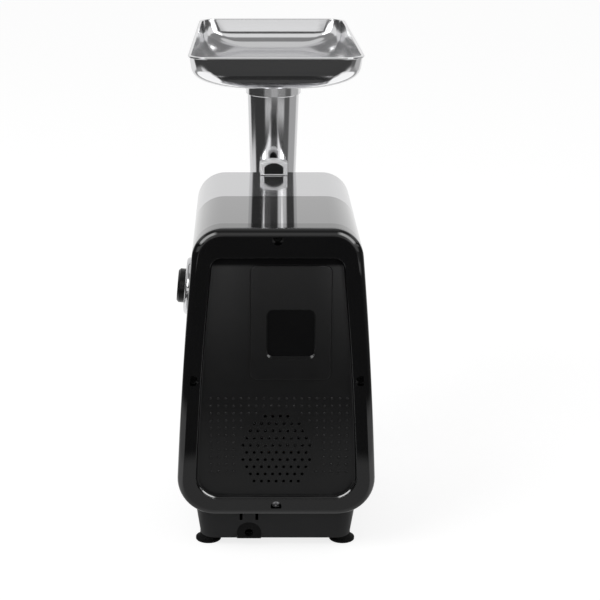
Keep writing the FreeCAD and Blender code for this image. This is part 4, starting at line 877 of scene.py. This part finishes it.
# A dome is three rings whose radius and height go as the cosine and sine of the rise
def makeDots(setup):
    column, row = np.meshgrid(np.arange(setup["columns"]), np.arange(setup["rows"]))
    x = setup["firstX"] - setup["columnPitch"] * column.ravel()
    z = setup["topZ"] - setup["rowPitch"] * row.ravel()
    wide, tall = setup["ventClear"]
    free = (x / wide) ** 2 + ((z - setup["ventCentre"]) / tall) ** 2 > 1
    x, z = x[free], z[free]
    plane = rearFace / mm - setup["panelDepth"]
    rise = np.radians(setup["rise"])
    turn = np.arange(setup["sides"]) * 2 * np.pi / setup["sides"]
    ringX = setup["radius"] * np.cos(rise)[:, None] * np.cos(turn)[None, :]
    ringZ = setup["radius"] * np.cos(rise)[:, None] * np.sin(turn)[None, :]
    ringY = np.repeat(setup["height"] * np.sin(rise)[:, None], setup["sides"], axis=1)
    dome = np.stack([ringX, ringY, ringZ], axis=-1).reshape(-1, 3)
    dome = np.concatenate([dome, [[0, setup["height"], 0]]])
    around = np.arange(setup["sides"])
    after = (around + 1) % setup["sides"]
    faces = []
    for ring in range(len(rise) - 1):
        base = ring * setup["sides"]
        faces.append(np.stack([base + around, base + after, base + setup["sides"] + after,
                               base + setup["sides"] + around], axis=-1))
    last = (len(rise) - 1) * setup["sides"]
    cap = np.stack([last + around, last + after, np.full(setup["sides"], len(dome) - 1)], axis=-1)
    places = np.column_stack([x, np.full(len(x), plane), z])
    points = (places[:, None, :] + dome[None, :, :]).reshape(-1, 3)
    shift = np.arange(len(x))[:, None, None] * len(dome)
    quads = (np.concatenate(faces)[None] + shift).reshape(-1, 4)
    caps = (cap[None] + shift).reshape(-1, 3)
    meshPiece("panelDots", points, quads.tolist() + caps.tolist(), "housing", "cover_black",
              setup["sharp"], sheet=True)


bpy.context.scene.view_settings.view_transform = "Standard"
makeCamera(cameraSetup)
makeWorld()
makeFloor()
for number, (place, power) in enumerate(zip(studio["lampPlaces"], studio["lampPowers"])):
    makeLamp("lamp" + str(number), place, power)
print("camera and studio ready")

materials = {name: makeFinish(name, look) for name, look in finishes.items()}
polishRim(materials["cover_black"])
darkenUpperScrews(materials["screw_steel"])
for part in frame["record"]["subparts"]:
    node = nodes[part["node"]]
    node.data.materials.clear()
    node.data.materials.append(materials[part["material_slot"]])
print("finishes set")

makeTray(traySetup)
makeLock(lockSetup)
makeSpring(springSetup)
makeRimRound(edgeSetup)
makePanelBevel(edgeSetup)
makeLabelBevel(edgeSetup)
makeDots(dotSetup)
print("pieces made")
